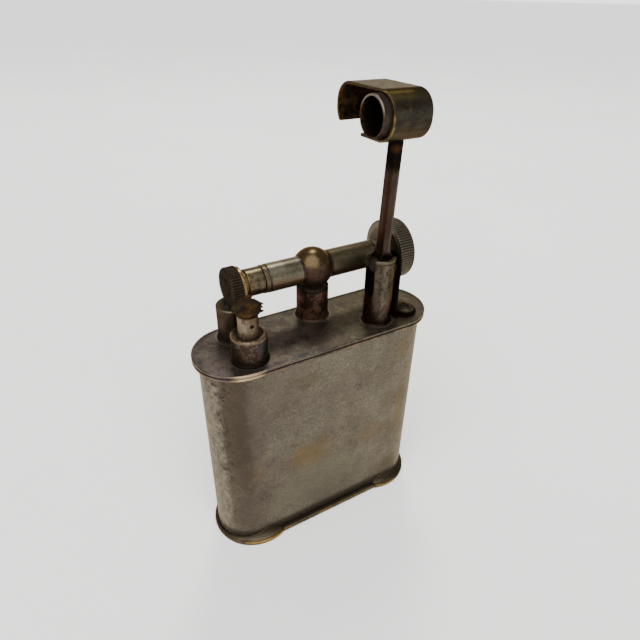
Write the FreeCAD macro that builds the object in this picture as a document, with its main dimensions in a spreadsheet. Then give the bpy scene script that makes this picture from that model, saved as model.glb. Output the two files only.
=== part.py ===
import FreeCAD, Part
import math
import os

import Sketcher

# Lift-arm petrol pocket lighter, with its snuffer arm raised. Millimetres.
# Origin: centre of the base on the plane it stands on. +X runs from the burner end to the thumb wheel end,
# -Y is the side of the burner and the arm, +Z is up.

DIMENSIONS = [
    # alias, value, meaning
    ("fit_gap", 0.01, "radial gap of soldered and pressed joints"),
    ("running_gap", 0.05, "radial gap of turning and sliding joints"),
    ("tank_half", 14.465, "half of the straight length of the tank's oval"),
    ("tank_radius", 6.17, "end radius of the tank wall, outside"),
    ("tank_wall", 0.45, "sheet thickness of the tank wall"),
    ("plate_top", 40.0, "height of the top plate's surface"),
    ("rim_radius", 7.08, "end radius of the top plate's rim"),
    ("rim_inner_radius", 6.62, "end radius inside the raised rim"),
    ("rim_groove_radius", 6.93, "end radius at the groove between the rim's two beads"),
    ("rim_bead", 0.42, "height of each bead of the rim"),
    ("rim_groove", 0.22, "height of the groove between the beads"),
    ("rim_rise", 0.1, "rise of the rim above the plate"),
    ("lip_depth", 1.2, "how far the plates' lips reach into the tank"),
    ("foot_half", 13.53, "distance of each foot disc's centre from the middle"),
    ("foot_radius", 7.75, "radius of the foot discs"),
    ("foot_edge", 0.8, "height of the foot discs' edge"),
    ("foot_rise", 2.3, "height where the foot's cove meets the wall"),
    ("foot_cove", 1.7, "radius of the foot's hollow cove"),
    ("foot_cut", 10.62, "where the foot discs give way to the middle bead"),
    ("bead_half_width", 7.2, "half width of the base's middle bead"),
    ("bead_rise", 0.9, "height of the base's middle bead"),
    ("wall_foot", 1.0, "height where the tank wall begins"),
    ("axle_y", 3.93, "axle and flint row, behind the middle"),
    ("axle_z", 49.07, "height of the axle"),
    ("axle_radius", 1.0, "radius of the axle"),
    ("burner_x", -13.4, "burner, along the tank"),
    ("burner_y", -2.93, "burner row, in front of the middle"),
    ("socket_radius", 2.81, "radius of the burner socket"),
    ("socket_top", 44.64, "top of the burner socket"),
    ("wick_tube_radius", 1.59, "radius of the wick tube"),
    ("wick_tube_bore", 1.2, "bore radius of the wick tube"),
    ("wick_tube_top", 47.95, "top of the wick tube"),
    ("wick_bottom", 30.0, "lower end of the wick, in the cotton"),
    ("wick_top", 50.3, "top of the wick"),
    ("wick_head", 1.9, "radius of the wick's spread head"),
    ("vent_z", 46.5, "height of the wick tube's vent hole"),
    ("vent_radius", 0.33, "radius of the vent hole"),
    ("flint_x", -13.08, "flint column, along the tank"),
    ("flint_post_radius", 2.72, "radius of the flint post"),
    ("flint_post_top", 46.1, "top of the flint post"),
    ("saddle_gap", 0.3, "clearance of the spark wheel in the saddle cut into the flint post"),
    ("flint_tube_radius", 1.68, "outer radius of the flint tube"),
    ("flint_bore", 1.3, "bore radius of the flint tube"),
    ("flint_tube_top", 42.4, "top of the flint tube, inside the post"),
    ("flint_radius", 1.2, "radius of the flint"),
    ("flint_length", 5.0, "length of the flint"),
    ("plunger_radius", 1.22, "radius of the flint plunger"),
    ("plunger_head", 1.4, "height of the plunger's head"),
    ("plunger_stem", 3.0, "length of the plunger's stem"),
    ("coil_radius", 0.88, "mean radius of the flint spring"),
    ("coil_wire", 0.2, "wire radius of the flint spring"),
    ("coil_turns", 19, "turns of the flint spring"),
    ("screw_recess", 0.1, "how far the base screws lie above the standing plane"),
    ("flint_screw_head", 2.05, "head radius of the flint screw"),
    ("flint_screw_seat", 0.75, "height of the flint screw's seat"),
    ("flint_screw_top", 7.0, "top of the flint screw's shank"),
    ("filler_x", 6.8, "filler, along the tank"),
    ("filler_head", 3.4, "head radius of the filler screw"),
    ("filler_seat", 0.75, "height of the filler screw's seat"),
    ("washer_thickness", 0.3, "thickness of the filler washer"),
    ("filler_thread", 2.2, "thread radius of the filler bush"),
    ("filler_bush_radius", 3.1, "outer radius of the filler bush"),
    ("filler_bush_top", 5.2, "top of the filler bush"),
    ("coin_slot", 0.7, "width of the coin slots"),
    ("support_x", 1.39, "support post, along the tank"),
    ("support_radius", 2.755, "radius of the support post"),
    ("support_top", 46.0, "top of the support post"),
    ("ball_radius", 3.46, "radius of the support ball"),
    ("ball_neck", 1.7, "radius of the neck under the ball"),
    ("tenon_depth", 1.6, "depth of the posts' tenons below the plate's surface"),
    ("solder", 0.25, "solder fillet at the foot of each post"),
    ("tube_radius", 2.375, "radius of the axle tube"),
    ("tube_bore", 1.55, "bore radius of the axle tube"),
    ("tube_left", -7.2, "left end of the axle tube"),
    ("tube_right", 13.05, "right end of the axle tube"),
    ("bush_length", 3.2, "length of each axle bush"),
    ("washer_left", -8.0, "left face of the axle washer"),
    ("washer_radius", 2.33, "radius of the axle washer"),
    ("collar_right", -8.08, "right face of the spark wheel's collar"),
    ("collar_left", -10.85, "left end of the spark wheel's collar"),
    ("collar_radius", 2.25, "radius of the spark wheel's collar"),
    ("hub_neck_radius", 1.95, "radius of the neck beside the flange"),
    ("flange_right", -11.5, "right face of the hub flange"),
    ("flange_left", -12.1, "left face of the hub flange"),
    ("flange_radius", 2.98, "radius of the hub flange"),
    ("hub_pin_x", -10.2, "hub pin, along the axle"),
    ("hub_pin_radius", 0.36, "radius of the hub pin"),
    ("spark_left", -14.02, "left face of the spark wheel"),
    ("spark_radius", 3.17, "radius of the spark wheel"),
    ("spark_teeth", 46, "teeth of the spark wheel"),
    ("spark_tooth", 0.22, "depth of the spark wheel's teeth"),
    ("spark_bevel", 0.4, "bevel of the spark wheel's left edge"),
    ("rivet_radius", 1.35, "radius of the axle's riveted end"),
    ("thumb_left", 15.95, "left face of the thumb wheel"),
    ("thumb_right", 18.91, "right face of the thumb wheel"),
    ("thumb_radius", 5.38, "radius of the thumb wheel"),
    ("thumb_teeth", 74, "grooves of the thumb wheel's knurl"),
    ("thumb_tooth", 0.2, "depth of the thumb wheel's knurl"),
    ("thumb_bevel", 0.22, "bevel of the thumb wheel's edges"),
    ("dish_outer", 4.35, "outer radius of the thumb wheel's dished faces"),
    ("dish_inner", 3.2, "inner radius of the slope of the dished faces"),
    ("dish_depth", 0.55, "depth of the dished faces"),
    ("thumb_hub_left", 13.15, "left face of the thumb wheel hub"),
    ("thumb_hub_radius", 2.38, "radius of the thumb wheel hub"),
    ("nut_radius", 2.1, "radius of the axle nut"),
    ("nut_right", 19.3, "right face of the axle nut"),
    ("arm_x", 10.35, "arm pivot, along the tank"),
    ("arm_z", 50.0, "height of the arm pivot"),
    ("arm_post_radius", 2.42, "radius of the arm post"),
    ("arm_post_top", 52.0, "top of the arm post"),
    ("arm_post_ring", 0.6, "height of the ring at the arm post's top"),
    ("arm_post_bore", 1.8, "bore radius of the arm post"),
    ("arm_post_floor", 47.0, "floor of the arm post's bore"),
    ("arm_slot_width", 2.5, "width of the arm post's slot"),
    ("arm_slot_floor", 45.0, "floor of the arm post's slot"),
    ("pivot_radius", 0.55, "radius of the arm pivot pin"),
    ("arm_width", 2.3, "width of the arm, along its pivot"),
    ("arm_thickness", 1.45, "thickness of the arm's rod"),
    ("arm_top_x", 11.1, "rod's upper end, along the tank"),
    ("arm_edge", 0.42, "rounding of the rod's edges"),
    ("heel_radius", 1.6, "radius of the heel's left side"),
    ("cam_flat", 2.42, "distance of the cam's two flats from the pivot"),
    ("cam_corner", 2.2, "rounding between the cam's flats"),
    ("leaf_left", 12.95, "left face of the leaf spring"),
    ("leaf_thickness", 0.35, "thickness of the leaf spring"),
    ("leaf_width", 3.6, "width of the leaf spring's blade"),
    ("leaf_top", 52.3, "top of the leaf spring"),
    ("leaf_bend", 0.45, "inner radius of the leaf spring's bend"),
    ("foot_width", 5.1, "width of the leaf spring's foot"),
    ("foot_end_x", 15.9, "centre of the foot's round end"),
    ("leaf_screw_x", 16.6, "leaf spring screw, along the tank"),
    ("leaf_screw_head", 1.65, "head radius of the leaf spring screw"),
    ("leaf_screw_rise", 0.85, "height of the leaf spring screw's head"),
    ("leaf_screw_shank", 0.95, "shank radius of the leaf spring screw"),
    ("hood_z", 73.65, "height of the hood's middle, arm raised"),
    ("hood_mouth", 7.7, "mouth of the hood shell"),
    ("hood_end", 14.64, "closed end of the hood shell"),
    ("hood_front", -6.43, "front of the hood shell"),
    ("hood_back", 7.95, "back of the hood shell"),
    ("hood_half", 3.475, "half thickness of the hood shell"),
    ("hood_corner", 3.2, "corner radius of the hood shell"),
    ("hood_wall", 0.4, "sheet thickness of the hood shell"),
    ("hood_cut_y", 1.2, "where the hood's cut-away begins"),
    ("hood_cut_drop", 2.3, "cut-away's edge below the hood's middle"),
    ("hood_cut_depth", 4.5, "how far the cut-away runs in from the mouth"),
    ("cup_mouth", 6.44, "mouth of the snuffer cup"),
    ("cup_radius", 2.97, "outer radius of the snuffer cup"),
    ("cup_wall", 0.38, "wall of the snuffer cup"),
    ("cup_floor", 0.7, "thickness of the snuffer cup's closed end"),
]

doc = FreeCAD.newDocument("lighter")
sheet = doc.addObject("Spreadsheet::Sheet", "Dimensions")
pieces = []


# ---------------------------------------------------------------- sizes bound to the sheet

class Size:
    """A length that carries both its value and the spreadsheet expression that drives it."""

    def __init__(self, value, text):
        self.value = value
        self.text = text

    def __add__(self, other):
        other = size(other)
        return Size(self.value + other.value, f"({self.text} + {other.text})")

    def __sub__(self, other):
        other = size(other)
        return Size(self.value - other.value, f"({self.text} - {other.text})")

    def __mul__(self, other):
        other = size(other)
        return Size(self.value * other.value, f"({self.text} * {other.text})")

    def __truediv__(self, other):
        other = size(other)
        return Size(self.value / other.value, f"({self.text} / {other.text})")

    def __neg__(self):
        return Size(-self.value, f"(0 - {self.text})")

    def __radd__(self, other):
        return size(other) + self

    def __rsub__(self, other):
        return size(other) - self

    def __rmul__(self, other):
        return size(other) * self


class Dimensions:
    """The driving dimensions by name, each as a Size that points at its cell."""

    def __init__(self, rows):
        for row, (alias, value, meaning) in enumerate(rows, start=1):
            sheet.set(f"A{row}", alias)
            sheet.set(f"B{row}", str(value))
            sheet.set(f"C{row}", meaning)
            sheet.setAlias(f"B{row}", alias)
            setattr(self, alias, Size(float(value), f"Dimensions.{alias}"))


def size(thing):
    """A Size as it is, or a plain number as a Size."""
    if isinstance(thing, Size):
        return thing
    return Size(float(thing), repr(float(thing)))


def leg(hypotenuse, other_leg):
    """The second leg of a right triangle."""
    value = math.sqrt(hypotenuse.value ** 2 - other_leg.value ** 2)
    return Size(value, f"sqrt({hypotenuse.text} ^ 2 - {other_leg.text} ^ 2)")


def bind(thing, prop, length):
    """Drives a property or constraint of an object by a Size."""
    if "Dimensions." in length.text:
        thing.setExpression(prop, length.text)


d = Dimensions(DIMENSIONS)
doc.recompute()


# ---------------------------------------------------------------- outlines

def lock(sketch, geometry, point, u, v):
    """Fixes one point of a sketch at (u, v) from the sketch's origin."""
    for length, kind, axis in ((size(u), "DistanceX", -2), (size(v), "DistanceY", -1)):
        if length.value == 0:
            sketch.addConstraint(Sketcher.Constraint("PointOnObject", geometry, point, axis))
        else:
            index = sketch.addConstraint(Sketcher.Constraint(kind, -1, 1, geometry, point, length.value))
            bind(sketch, f"Constraints[{index}]", length)


def lock_radius(sketch, geometry, radius):
    """Fixes the radius of a circle or arc."""
    index = sketch.addConstraint(Sketcher.Constraint("Radius", geometry, radius.value))
    bind(sketch, f"Constraints[{index}]", radius)


def arc_between(start, end, radius, turn):
    """The shorter arc from start to end. It turns left (+1) or right (-1) on the way."""
    chord = end - start
    middle = start + chord * 0.5
    left = FreeCAD.Vector(-chord.y, chord.x, 0).normalize()
    reach = math.sqrt(max(radius ** 2 - (chord.Length / 2) ** 2, 0.0))
    centre = middle + left * (reach * turn)
    circle = Part.Circle(centre, FreeCAD.Vector(0, 0, 1), radius)
    first, last = (start, end) if turn > 0 else (end, start)
    angles = [math.atan2(p.y - centre.y, p.x - centre.x) for p in (first, last)]
    return Part.ArcOfCircle(circle, angles[0], angles[1])


def outline(corners):
    """A closed outline. A corner is (u, v), or (u, v, radius, turn) where the edge leaving it is an arc."""

    def draw(sketch):
        points = [FreeCAD.Vector(size(c[0]).value, size(c[1]).value, 0) for c in corners]
        count = len(corners)
        base = sketch.GeometryCount
        ends = []
        for i, corner in enumerate(corners):
            following = points[(i + 1) % count]
            if len(corner) == 2:
                sketch.addGeometry(Part.LineSegment(points[i], following), False)
                ends.append((1, 2))
            else:
                arc = arc_between(points[i], following, size(corner[2]).value, corner[3])
                sketch.addGeometry(arc, False)
                ends.append((1, 2) if corner[3] > 0 else (2, 1))
        for i in range(count):
            after = (i + 1) % count
            joint = Sketcher.Constraint("Coincident", base + i, ends[i][1], base + after, ends[after][0])
            sketch.addConstraint(joint)
        for i, corner in enumerate(corners):
            lock(sketch, base + i, ends[i][0], corner[0], corner[1])
            if len(corner) > 2:
                lock_radius(sketch, base + i, size(corner[2]))

    return draw


def disc(u, v, radius):
    """A circle."""

    def draw(sketch):
        centre = FreeCAD.Vector(size(u).value, size(v).value, 0)
        index = sketch.GeometryCount
        sketch.addGeometry(Part.Circle(centre, FreeCAD.Vector(0, 0, 1), size(radius).value), False)
        lock(sketch, index, 3, u, v)
        lock_radius(sketch, index, size(radius))

    return draw


def box(left, right, low, high):
    """A rectangle."""
    return outline([(left, low), (right, low), (right, high), (left, high)])


def rounded_box(left, right, low, high, radius):
    """A rectangle with four round corners."""
    return outline([
        (left + radius, low),
        (right - radius, low, radius, 1),
        (right, low + radius),
        (right, high - radius, radius, 1),
        (right - radius, high),
        (left + radius, high, radius, 1),
        (left, high - radius),
        (left, low + radius, radius, 1),
    ])


def oval(half, radius):
    """The tank's plan: two half circles joined by straight sides."""
    return outline([
        (half, -radius, radius, 1),
        (half + radius, 0, radius, 1),
        (half, radius),
        (-half, radius, radius, 1),
        (-half - radius, 0, radius, 1),
        (-half, -radius),
    ])


# ---------------------------------------------------------------- pieces and features

def new_piece(label):
    """A body for one sub-part. Its label is the sub-part's name."""
    piece = doc.addObject("PartDesign::Body", label)
    piece.Label = label
    pieces.append(piece)
    return piece


def new_sketch(piece, role, shapes, level=0, shift=0):
    """A sketch on one of the piece's own planes, raised by level and moved sideways by shift."""
    plane = next(item for item in piece.Origin.OriginFeatures if item.Role == role)
    sketch = piece.newObject("Sketcher::SketchObject", f"{piece.Name}_sketch")
    sketch.AttachmentSupport = [(plane, "")]
    sketch.MapMode = "FlatFace"
    offset = FreeCAD.Vector(size(shift).value, 0, size(level).value)
    sketch.AttachmentOffset = FreeCAD.Placement(offset, FreeCAD.Rotation())
    bind(sketch, "AttachmentOffset.Base.x", size(shift))
    bind(sketch, "AttachmentOffset.Base.z", size(level))
    for shape in shapes:
        shape(sketch)
    return sketch


def extrude(piece, kind, shapes, low, high, role="XY_Plane"):
    """Pads or pockets shapes between two levels along the plane's own axis."""
    low = size(low)
    high = size(high)
    level = -high if role == "XZ_Plane" else low
    before = volume(piece)
    feature = piece.newObject(f"PartDesign::{kind}", f"{piece.Name}_{kind.lower()}")
    feature.Profile = (new_sketch(piece, role, shapes, level), [""])
    feature.Length = (high - low).value
    bind(feature, "Length", high - low)
    feature.Reversed = kind == "Pocket"
    piece.Tip = feature
    doc.recompute()
    check_change(piece, kind, before)
    return feature


def pad(piece, shapes, low, high, role="XY_Plane"):
    return extrude(piece, "Pad", shapes, low, high, role)


def pocket(piece, shapes, low, high, role="XY_Plane"):
    return extrude(piece, "Pocket", shapes, low, high, role)


def revolve(piece, corners, shift=0):
    """Turns an outline of (radius, height) corners about the piece's vertical axis."""
    sketch = new_sketch(piece, "XZ_Plane", [outline(corners)], shift=shift)
    feature = piece.newObject("PartDesign::Revolution", f"{piece.Name}_revolution")
    feature.Profile = (sketch, [""])
    feature.ReferenceAxis = (sketch, ["V_Axis"])
    feature.Angle = 360
    piece.Tip = feature
    doc.recompute()
    return feature


def mirror(piece, feature):
    """Repeats a feature on the other side of the YZ plane."""
    plane = next(item for item in piece.Origin.OriginFeatures if item.Role == "YZ_Plane")
    before = volume(piece)
    mirrored = piece.newObject("PartDesign::Mirrored", f"{piece.Name}_mirror")
    mirrored.Originals = [feature]
    mirrored.MirrorPlane = (plane, [""])
    piece.Tip = mirrored
    doc.recompute()
    check_change(piece, "Pad", before)
    return mirrored


def ring_of(piece, feature, count):
    """Repeats a feature evenly round the piece's vertical axis."""
    before = volume(piece)
    pattern = piece.newObject("PartDesign::PolarPattern", f"{piece.Name}_pattern")
    pattern.Originals = [feature]
    pattern.Axis = (feature.Profile[0], ["N_Axis"])
    pattern.Angle = 360
    pattern.Occurrences = int(count.value)
    bind(pattern, "Occurrences", count)
    piece.Tip = pattern
    doc.recompute()
    check_change(piece, "Pocket", before)
    return pattern


def soften(piece, kind, amount, wanted):
    """Fillets or chamfers the edges of the piece's last feature for which wanted(edge) holds."""
    base = piece.Tip
    names = [f"Edge{i}" for i, edge in enumerate(base.Shape.Edges, start=1) if wanted(edge)]
    feature = piece.newObject(f"PartDesign::{kind}", f"{piece.Name}_{kind.lower()}")
    feature.Base = (base, names)
    prop = "Radius" if kind == "Fillet" else "Size"
    setattr(feature, prop, amount)
    piece.Tip = feature
    doc.recompute()
    return feature


def along(edge):
    """Three points of an edge: its start, middle and end."""
    first = edge.FirstParameter
    last = edge.LastParameter
    return [edge.valueAt(first + share * (last - first)) for share in (0.0, 0.5, 1.0)]


def is_level(edge):
    """Whether an edge keeps one height."""
    heights = [point.z for point in along(edge)]
    return max(heights) - min(heights) < 1e-4


def volume(piece):
    shape = piece.Shape
    return 0.0 if shape.isNull() else shape.Volume


def check_change(piece, kind, before):
    """A pad has to add material and a pocket has to take some away."""
    change = volume(piece) - before
    if (change <= 0) if kind == "Pad" else (change >= 0):
        raise RuntimeError(f"{piece.Label}: {kind} changed the volume by {change:.4f}")


def place(piece, x=0, y=0, z=0, turn=None):
    """Puts a piece at (x, y, z), turned if a rotation is given."""
    base = FreeCAD.Vector(size(x).value, size(y).value, size(z).value)
    piece.Placement = FreeCAD.Placement(base, turn or FreeCAD.Rotation())
    for axis, length in (("x", x), ("y", y), ("z", z)):
        bind(piece, f"Placement.Base.{axis}", size(length))


def place_on_axle(piece):
    """Lays a turned piece along the axle: its heights become places along X."""
    place(piece, y=d.axle_y, z=d.axle_z, turn=ALONG_X)


ALONG_X = FreeCAD.Rotation(FreeCAD.Vector(0, 1, 0), 90)


def solder_foot(radius, height):
    """Corners of the small hollow fillet where a post stands on the plate."""
    return [
        (radius + d.solder, height, d.solder, -1),
        (radius, height + d.solder),
    ]


# ---------------------------------------------------------------- tank

def make_tank_shell():
    piece = new_piece("tank_shell")
    walls = [oval(d.tank_half, d.tank_radius), oval(d.tank_half, d.tank_radius - d.tank_wall)]
    pad(piece, walls, d.wall_foot, rim_bottom())


def rim_bottom():
    """Underside of the top plate's rim, where the tank wall ends."""
    return d.plate_top + d.rim_rise - 2 * d.rim_bead - d.rim_groove


def lip():
    """Plan of the lips that close the tank's two ends from inside."""
    return oval(d.tank_half, d.tank_radius - d.tank_wall - d.fit_gap)


def make_top_plate():
    """A plate with a rolled double-bead rim, a lip inside the tank, and holes for what stands on it."""
    piece = new_piece("top_plate")
    rim_top = d.plate_top + d.rim_rise
    low_bead = rim_bottom() + d.rim_bead
    pad(piece, [oval(d.tank_half, d.rim_radius)], rim_bottom(), low_bead)
    pad(piece, [oval(d.tank_half, d.rim_groove_radius)], low_bead, low_bead + d.rim_groove)
    pad(piece, [oval(d.tank_half, d.rim_radius)], low_bead + d.rim_groove, rim_top)
    pad(piece, [lip()], rim_bottom() - d.lip_depth, rim_bottom())

    def on_rim(edge):
        return all(is_on_rim(point) for point in along(edge)) and is_level(edge)

    soften(piece, "Fillet", 0.13, on_rim)
    pocket(piece, [oval(d.tank_half, d.rim_inner_radius)], d.plate_top, rim_top)
    for x, radius in ((d.flint_x, d.flint_post_radius), (d.support_x, d.support_radius)):
        pocket(piece, [disc(x, d.axle_y, radius + d.solder + d.fit_gap)], d.plate_top, rim_top)
    floor = rim_bottom() - d.lip_depth
    for x, y, radius in (
        (d.burner_x, d.burner_y, d.wick_tube_radius),
        (d.flint_x, d.axle_y, d.flint_tube_radius),
        (d.support_x, d.axle_y, support_tenon()),
        (d.arm_x, d.burner_y, arm_tenon()),
        (d.leaf_screw_x, d.burner_y, d.leaf_screw_shank),
    ):
        pocket(piece, [disc(x, y, radius + d.fit_gap)], floor, rim_top)


def is_on_rim(point):
    """Whether a point lies on the rim's plan oval."""
    beyond = max(abs(point.x) - d.tank_half.value, 0.0)
    return abs(math.hypot(beyond, point.y) - d.rim_radius.value) < 1e-4


def support_tenon():
    return d.support_radius - 1.2


def arm_tenon():
    return d.arm_post_radius - 1.0


def make_base_plate():
    """Two flared round ends with hollow coves, a beaded middle, a lip inside the tank, and screw holes."""
    piece = new_piece("base_plate")
    edge_round = d.foot_edge * 0.35
    flare = revolve(piece, [
        (0, 0),
        (d.foot_radius - edge_round, 0, edge_round, 1),
        (d.foot_radius, edge_round),
        (d.foot_radius, d.foot_edge - edge_round, edge_round, 1),
        (d.foot_radius - edge_round, d.foot_edge, d.foot_cove, -1),
        (d.tank_radius, d.foot_rise),
        (0, d.foot_rise),
    ], shift=d.foot_half)
    mirror(piece, flare)
    wide = d.foot_radius + 1
    pocket(piece, [box(-d.foot_cut, d.foot_cut, -wide, wide)], -1, d.foot_rise + 1)
    side = d.bead_half_width
    half_round = d.bead_rise / 2
    bead = outline([
        (-side + half_round, 0),
        (side - half_round, 0, half_round, 1),
        (side, half_round, half_round, 1),
        (side - half_round, d.bead_rise),
        (-side + half_round, d.bead_rise, half_round, 1),
        (-side, half_round, half_round, 1),
    ])
    pad(piece, [bead], -d.foot_cut, d.foot_cut, "YZ_Plane")
    seat = oval(d.tank_half, d.tank_radius + d.fit_gap)
    pocket(piece, [seat], d.wall_foot, d.foot_rise + 1)
    pad(piece, [lip()], d.foot_edge / 2, d.foot_rise)
    bores = (
        (d.flint_x, d.axle_y, d.flint_screw_head, d.flint_screw_seat, d.flint_tube_radius),
        (d.filler_x, 0, d.filler_head, filler_ledge(), d.filler_bush_radius),
    )
    for x, y, head, ledge, bore in bores:
        pocket(piece, [disc(x, y, head + 2 * d.running_gap)], 0, ledge)
        pocket(piece, [disc(x, y, bore + d.fit_gap)], ledge, d.foot_rise + 1)


def filler_ledge():
    """Height of the filler bush's lower face, which the washer seals against."""
    return d.filler_seat + d.washer_thickness


def make_cotton_wadding():
    """Cotton packed round the flint tube, the filler bush and the wick."""
    piece = new_piece("cotton_wadding")
    low = d.foot_rise + 0.3
    high = rim_bottom() - d.lip_depth - 0.5
    pad(piece, [oval(d.tank_half - 0.3, d.tank_radius - d.tank_wall - 0.12)], low, high)
    pocket(piece, [disc(d.filler_x, 0, d.filler_bush_radius + 0.3)], low, d.filler_bush_top + 0.4)
    pocket(piece, [disc(d.burner_x, d.burner_y, wick_radius() + d.running_gap)], d.wick_bottom - 0.1, high)
    reach = outline([
        (d.flint_x - d.flint_tube_radius - 0.2, d.axle_y, d.flint_tube_radius + 0.2, 1),
        (d.flint_x, d.axle_y - d.flint_tube_radius - 0.2, d.flint_tube_radius + 0.2, 1),
        (d.flint_x + d.flint_tube_radius + 0.2, d.axle_y),
        (d.flint_x + d.flint_tube_radius + 0.2, d.tank_radius + 1),
        (d.flint_x - d.flint_tube_radius - 0.2, d.tank_radius + 1),
    ])
    pocket(piece, [reach], low, high)


# ---------------------------------------------------------------- burner

def make_burner_socket():
    """A thick collar with a rounded shoulder and a shallow recess round the wick tube."""
    piece = new_piece("burner_socket")
    bore = d.wick_tube_radius + d.fit_gap
    shoulder = 0.42
    recess = 0.5
    revolve(piece, [
        (bore, d.plate_top),
        *solder_foot(d.socket_radius, d.plate_top),
        (d.socket_radius, d.socket_top - shoulder, shoulder, 1),
        (d.socket_radius - shoulder, d.socket_top),
        (bore + 0.55, d.socket_top, recess, -1),
        (bore + 0.05, d.socket_top - recess),
        (bore, d.socket_top - recess),
    ])
    place(piece, d.burner_x, d.burner_y)


def make_wick_tube():
    """A thin tube with one small vent hole in front."""
    piece = new_piece("wick_tube")
    low = d.plate_top - d.tenon_depth
    revolve(piece, [
        (d.wick_tube_bore, low),
        (d.wick_tube_radius, low),
        (d.wick_tube_radius, d.wick_tube_top - 0.12, 0.12, 1),
        (d.wick_tube_radius - 0.12, d.wick_tube_top),
        (d.wick_tube_bore, d.wick_tube_top),
    ])
    pocket(piece, [disc(0, d.vent_z, d.vent_radius)], -d.wick_tube_radius - 1, 0, "XZ_Plane")
    place(piece, d.burner_x, d.burner_y)


def wick_radius():
    return d.wick_tube_bore - d.running_gap


def make_wick():
    """A cord of fibres that runs up the wick tube and spreads over its top."""
    piece = new_piece("wick")
    neck = wick_radius()
    underside = d.wick_tube_top + d.running_gap
    round_head = 0.8
    revolve(piece, [
        (0, d.wick_bottom),
        (neck, d.wick_bottom),
        (neck, underside),
        (d.wick_head - 0.2, underside, 0.2, 1),
        (d.wick_head, underside + 0.2),
        (d.wick_head, d.wick_top - round_head, round_head, 1),
        (d.wick_head - round_head, d.wick_top),
        (0, d.wick_top),
    ])
    place(piece, d.burner_x, d.burner_y)


# ---------------------------------------------------------------- flint column

def make_flint_post():
    """The visible post, soldered over the flint tube, its top saddled to let the spark wheel reach the flint."""
    piece = new_piece("flint_post")
    edge = 0.25
    revolve(piece, [
        (d.flint_tube_radius + d.fit_gap, d.plate_top),
        *solder_foot(d.flint_post_radius, d.plate_top),
        (d.flint_post_radius, d.flint_post_top - edge, edge, 1),
        (d.flint_post_radius - edge, d.flint_post_top),
        (d.flint_bore + 0.1, d.flint_post_top),
        (d.flint_bore, d.flint_post_top - 0.1),
        (d.flint_bore, d.flint_tube_top),
        (d.flint_tube_radius + d.fit_gap, d.flint_tube_top),
    ])
    saddle = disc(0, d.axle_z, d.spark_radius + d.saddle_gap)
    left = d.spark_left - d.saddle_gap - d.flint_x
    pocket(piece, [saddle], left, d.flint_post_radius + 1, "YZ_Plane")
    place(piece, d.flint_x, d.axle_y)


def make_flint_tube():
    piece = new_piece("flint_tube")
    wall = [disc(0, 0, d.flint_tube_radius), disc(0, 0, d.flint_bore)]
    pad(piece, wall, d.flint_screw_seat, d.flint_tube_top)
    place(piece, d.flint_x, d.axle_y)


def flint_top():
    """The flint's highest level, just under the spark wheel before it is hollowed by it."""
    return d.axle_z - leg(d.spark_radius + d.running_gap, d.flint_radius)


def flint_bottom():
    return flint_top() - d.flint_length


def make_flint():
    """A flint pencil whose top the spark wheel has worn hollow."""
    piece = new_piece("flint")
    pad(piece, [disc(0, 0, d.flint_radius)], flint_bottom(), flint_top())
    worn = [disc(0, d.axle_z, d.spark_radius + d.running_gap)]
    reach = d.flint_radius + 1
    pocket(piece, worn, -reach, reach, "YZ_Plane")
    place(piece, d.flint_x, d.axle_y)


def make_flint_plunger():
    """A small cap with a stem that centres the spring."""
    piece = new_piece("flint_plunger")
    stem = d.coil_radius - d.coil_wire - d.running_gap
    top = flint_bottom()
    revolve(piece, [
        (0, top - d.plunger_head - d.plunger_stem),
        (stem, top - d.plunger_head - d.plunger_stem),
        (stem, top - d.plunger_head),
        (d.plunger_radius, top - d.plunger_head),
        (d.plunger_radius, top),
        (0, top),
    ])
    place(piece, d.flint_x, d.axle_y)


def make_flint_spring():
    """A compression coil between the flint screw and the plunger."""
    piece = new_piece("flint_spring")
    end_gap = d.coil_wire + d.running_gap
    low = d.flint_screw_top + end_gap
    high = flint_bottom() - d.plunger_head - end_gap
    sketch = new_sketch(piece, "XZ_Plane", [disc(d.coil_radius, 0, d.coil_wire)])
    coil = piece.newObject("PartDesign::AdditiveHelix", "flint_spring_helix")
    coil.Profile = (sketch, [""])
    coil.ReferenceAxis = (sketch, ["V_Axis"])
    coil.Mode = "height-turns-angle"
    coil.Height = (high - low).value
    coil.Turns = d.coil_turns.value
    bind(coil, "Height", high - low)
    bind(coil, "Turns", d.coil_turns)
    piece.Tip = coil
    place(piece, d.flint_x, d.axle_y, low)


def make_flint_screw():
    """A coin-slot screw that closes the flint tube and carries the spring."""
    piece = new_piece("flint_screw")
    shank = d.flint_bore - d.running_gap
    revolve(piece, [
        (0, d.screw_recess),
        (d.flint_screw_head - 0.12, d.screw_recess, 0.12, 1),
        (d.flint_screw_head, d.screw_recess + 0.12),
        (d.flint_screw_head, d.flint_screw_seat - d.fit_gap),
        (shank, d.flint_screw_seat - d.fit_gap),
        (shank, d.flint_screw_top),
        (0, d.flint_screw_top),
    ])
    cut_coin_slot(piece, d.flint_screw_head, d.coin_slot, 0, 0.4)
    place(piece, d.flint_x, d.axle_y)


def cut_coin_slot(piece, reach, width, low, high):
    """A straight slot across a screw head, along Y."""
    half = width / 2
    pocket(piece, [box(-half, half, -reach - 1, reach + 1)], low, high)


# ---------------------------------------------------------------- filler

def make_filler_bush():
    piece = new_piece("filler_bush")
    wall = [disc(0, 0, d.filler_bush_radius), disc(0, 0, d.filler_thread)]
    pad(piece, wall, filler_ledge(), d.filler_bush_top)
    place(piece, d.filler_x)


def make_filler_washer():
    piece = new_piece("filler_washer")
    rim = [disc(0, 0, d.filler_head - 0.15), disc(0, 0, d.filler_thread)]
    pad(piece, rim, d.filler_seat + d.fit_gap, filler_ledge() - d.fit_gap)
    place(piece, d.filler_x)


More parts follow.
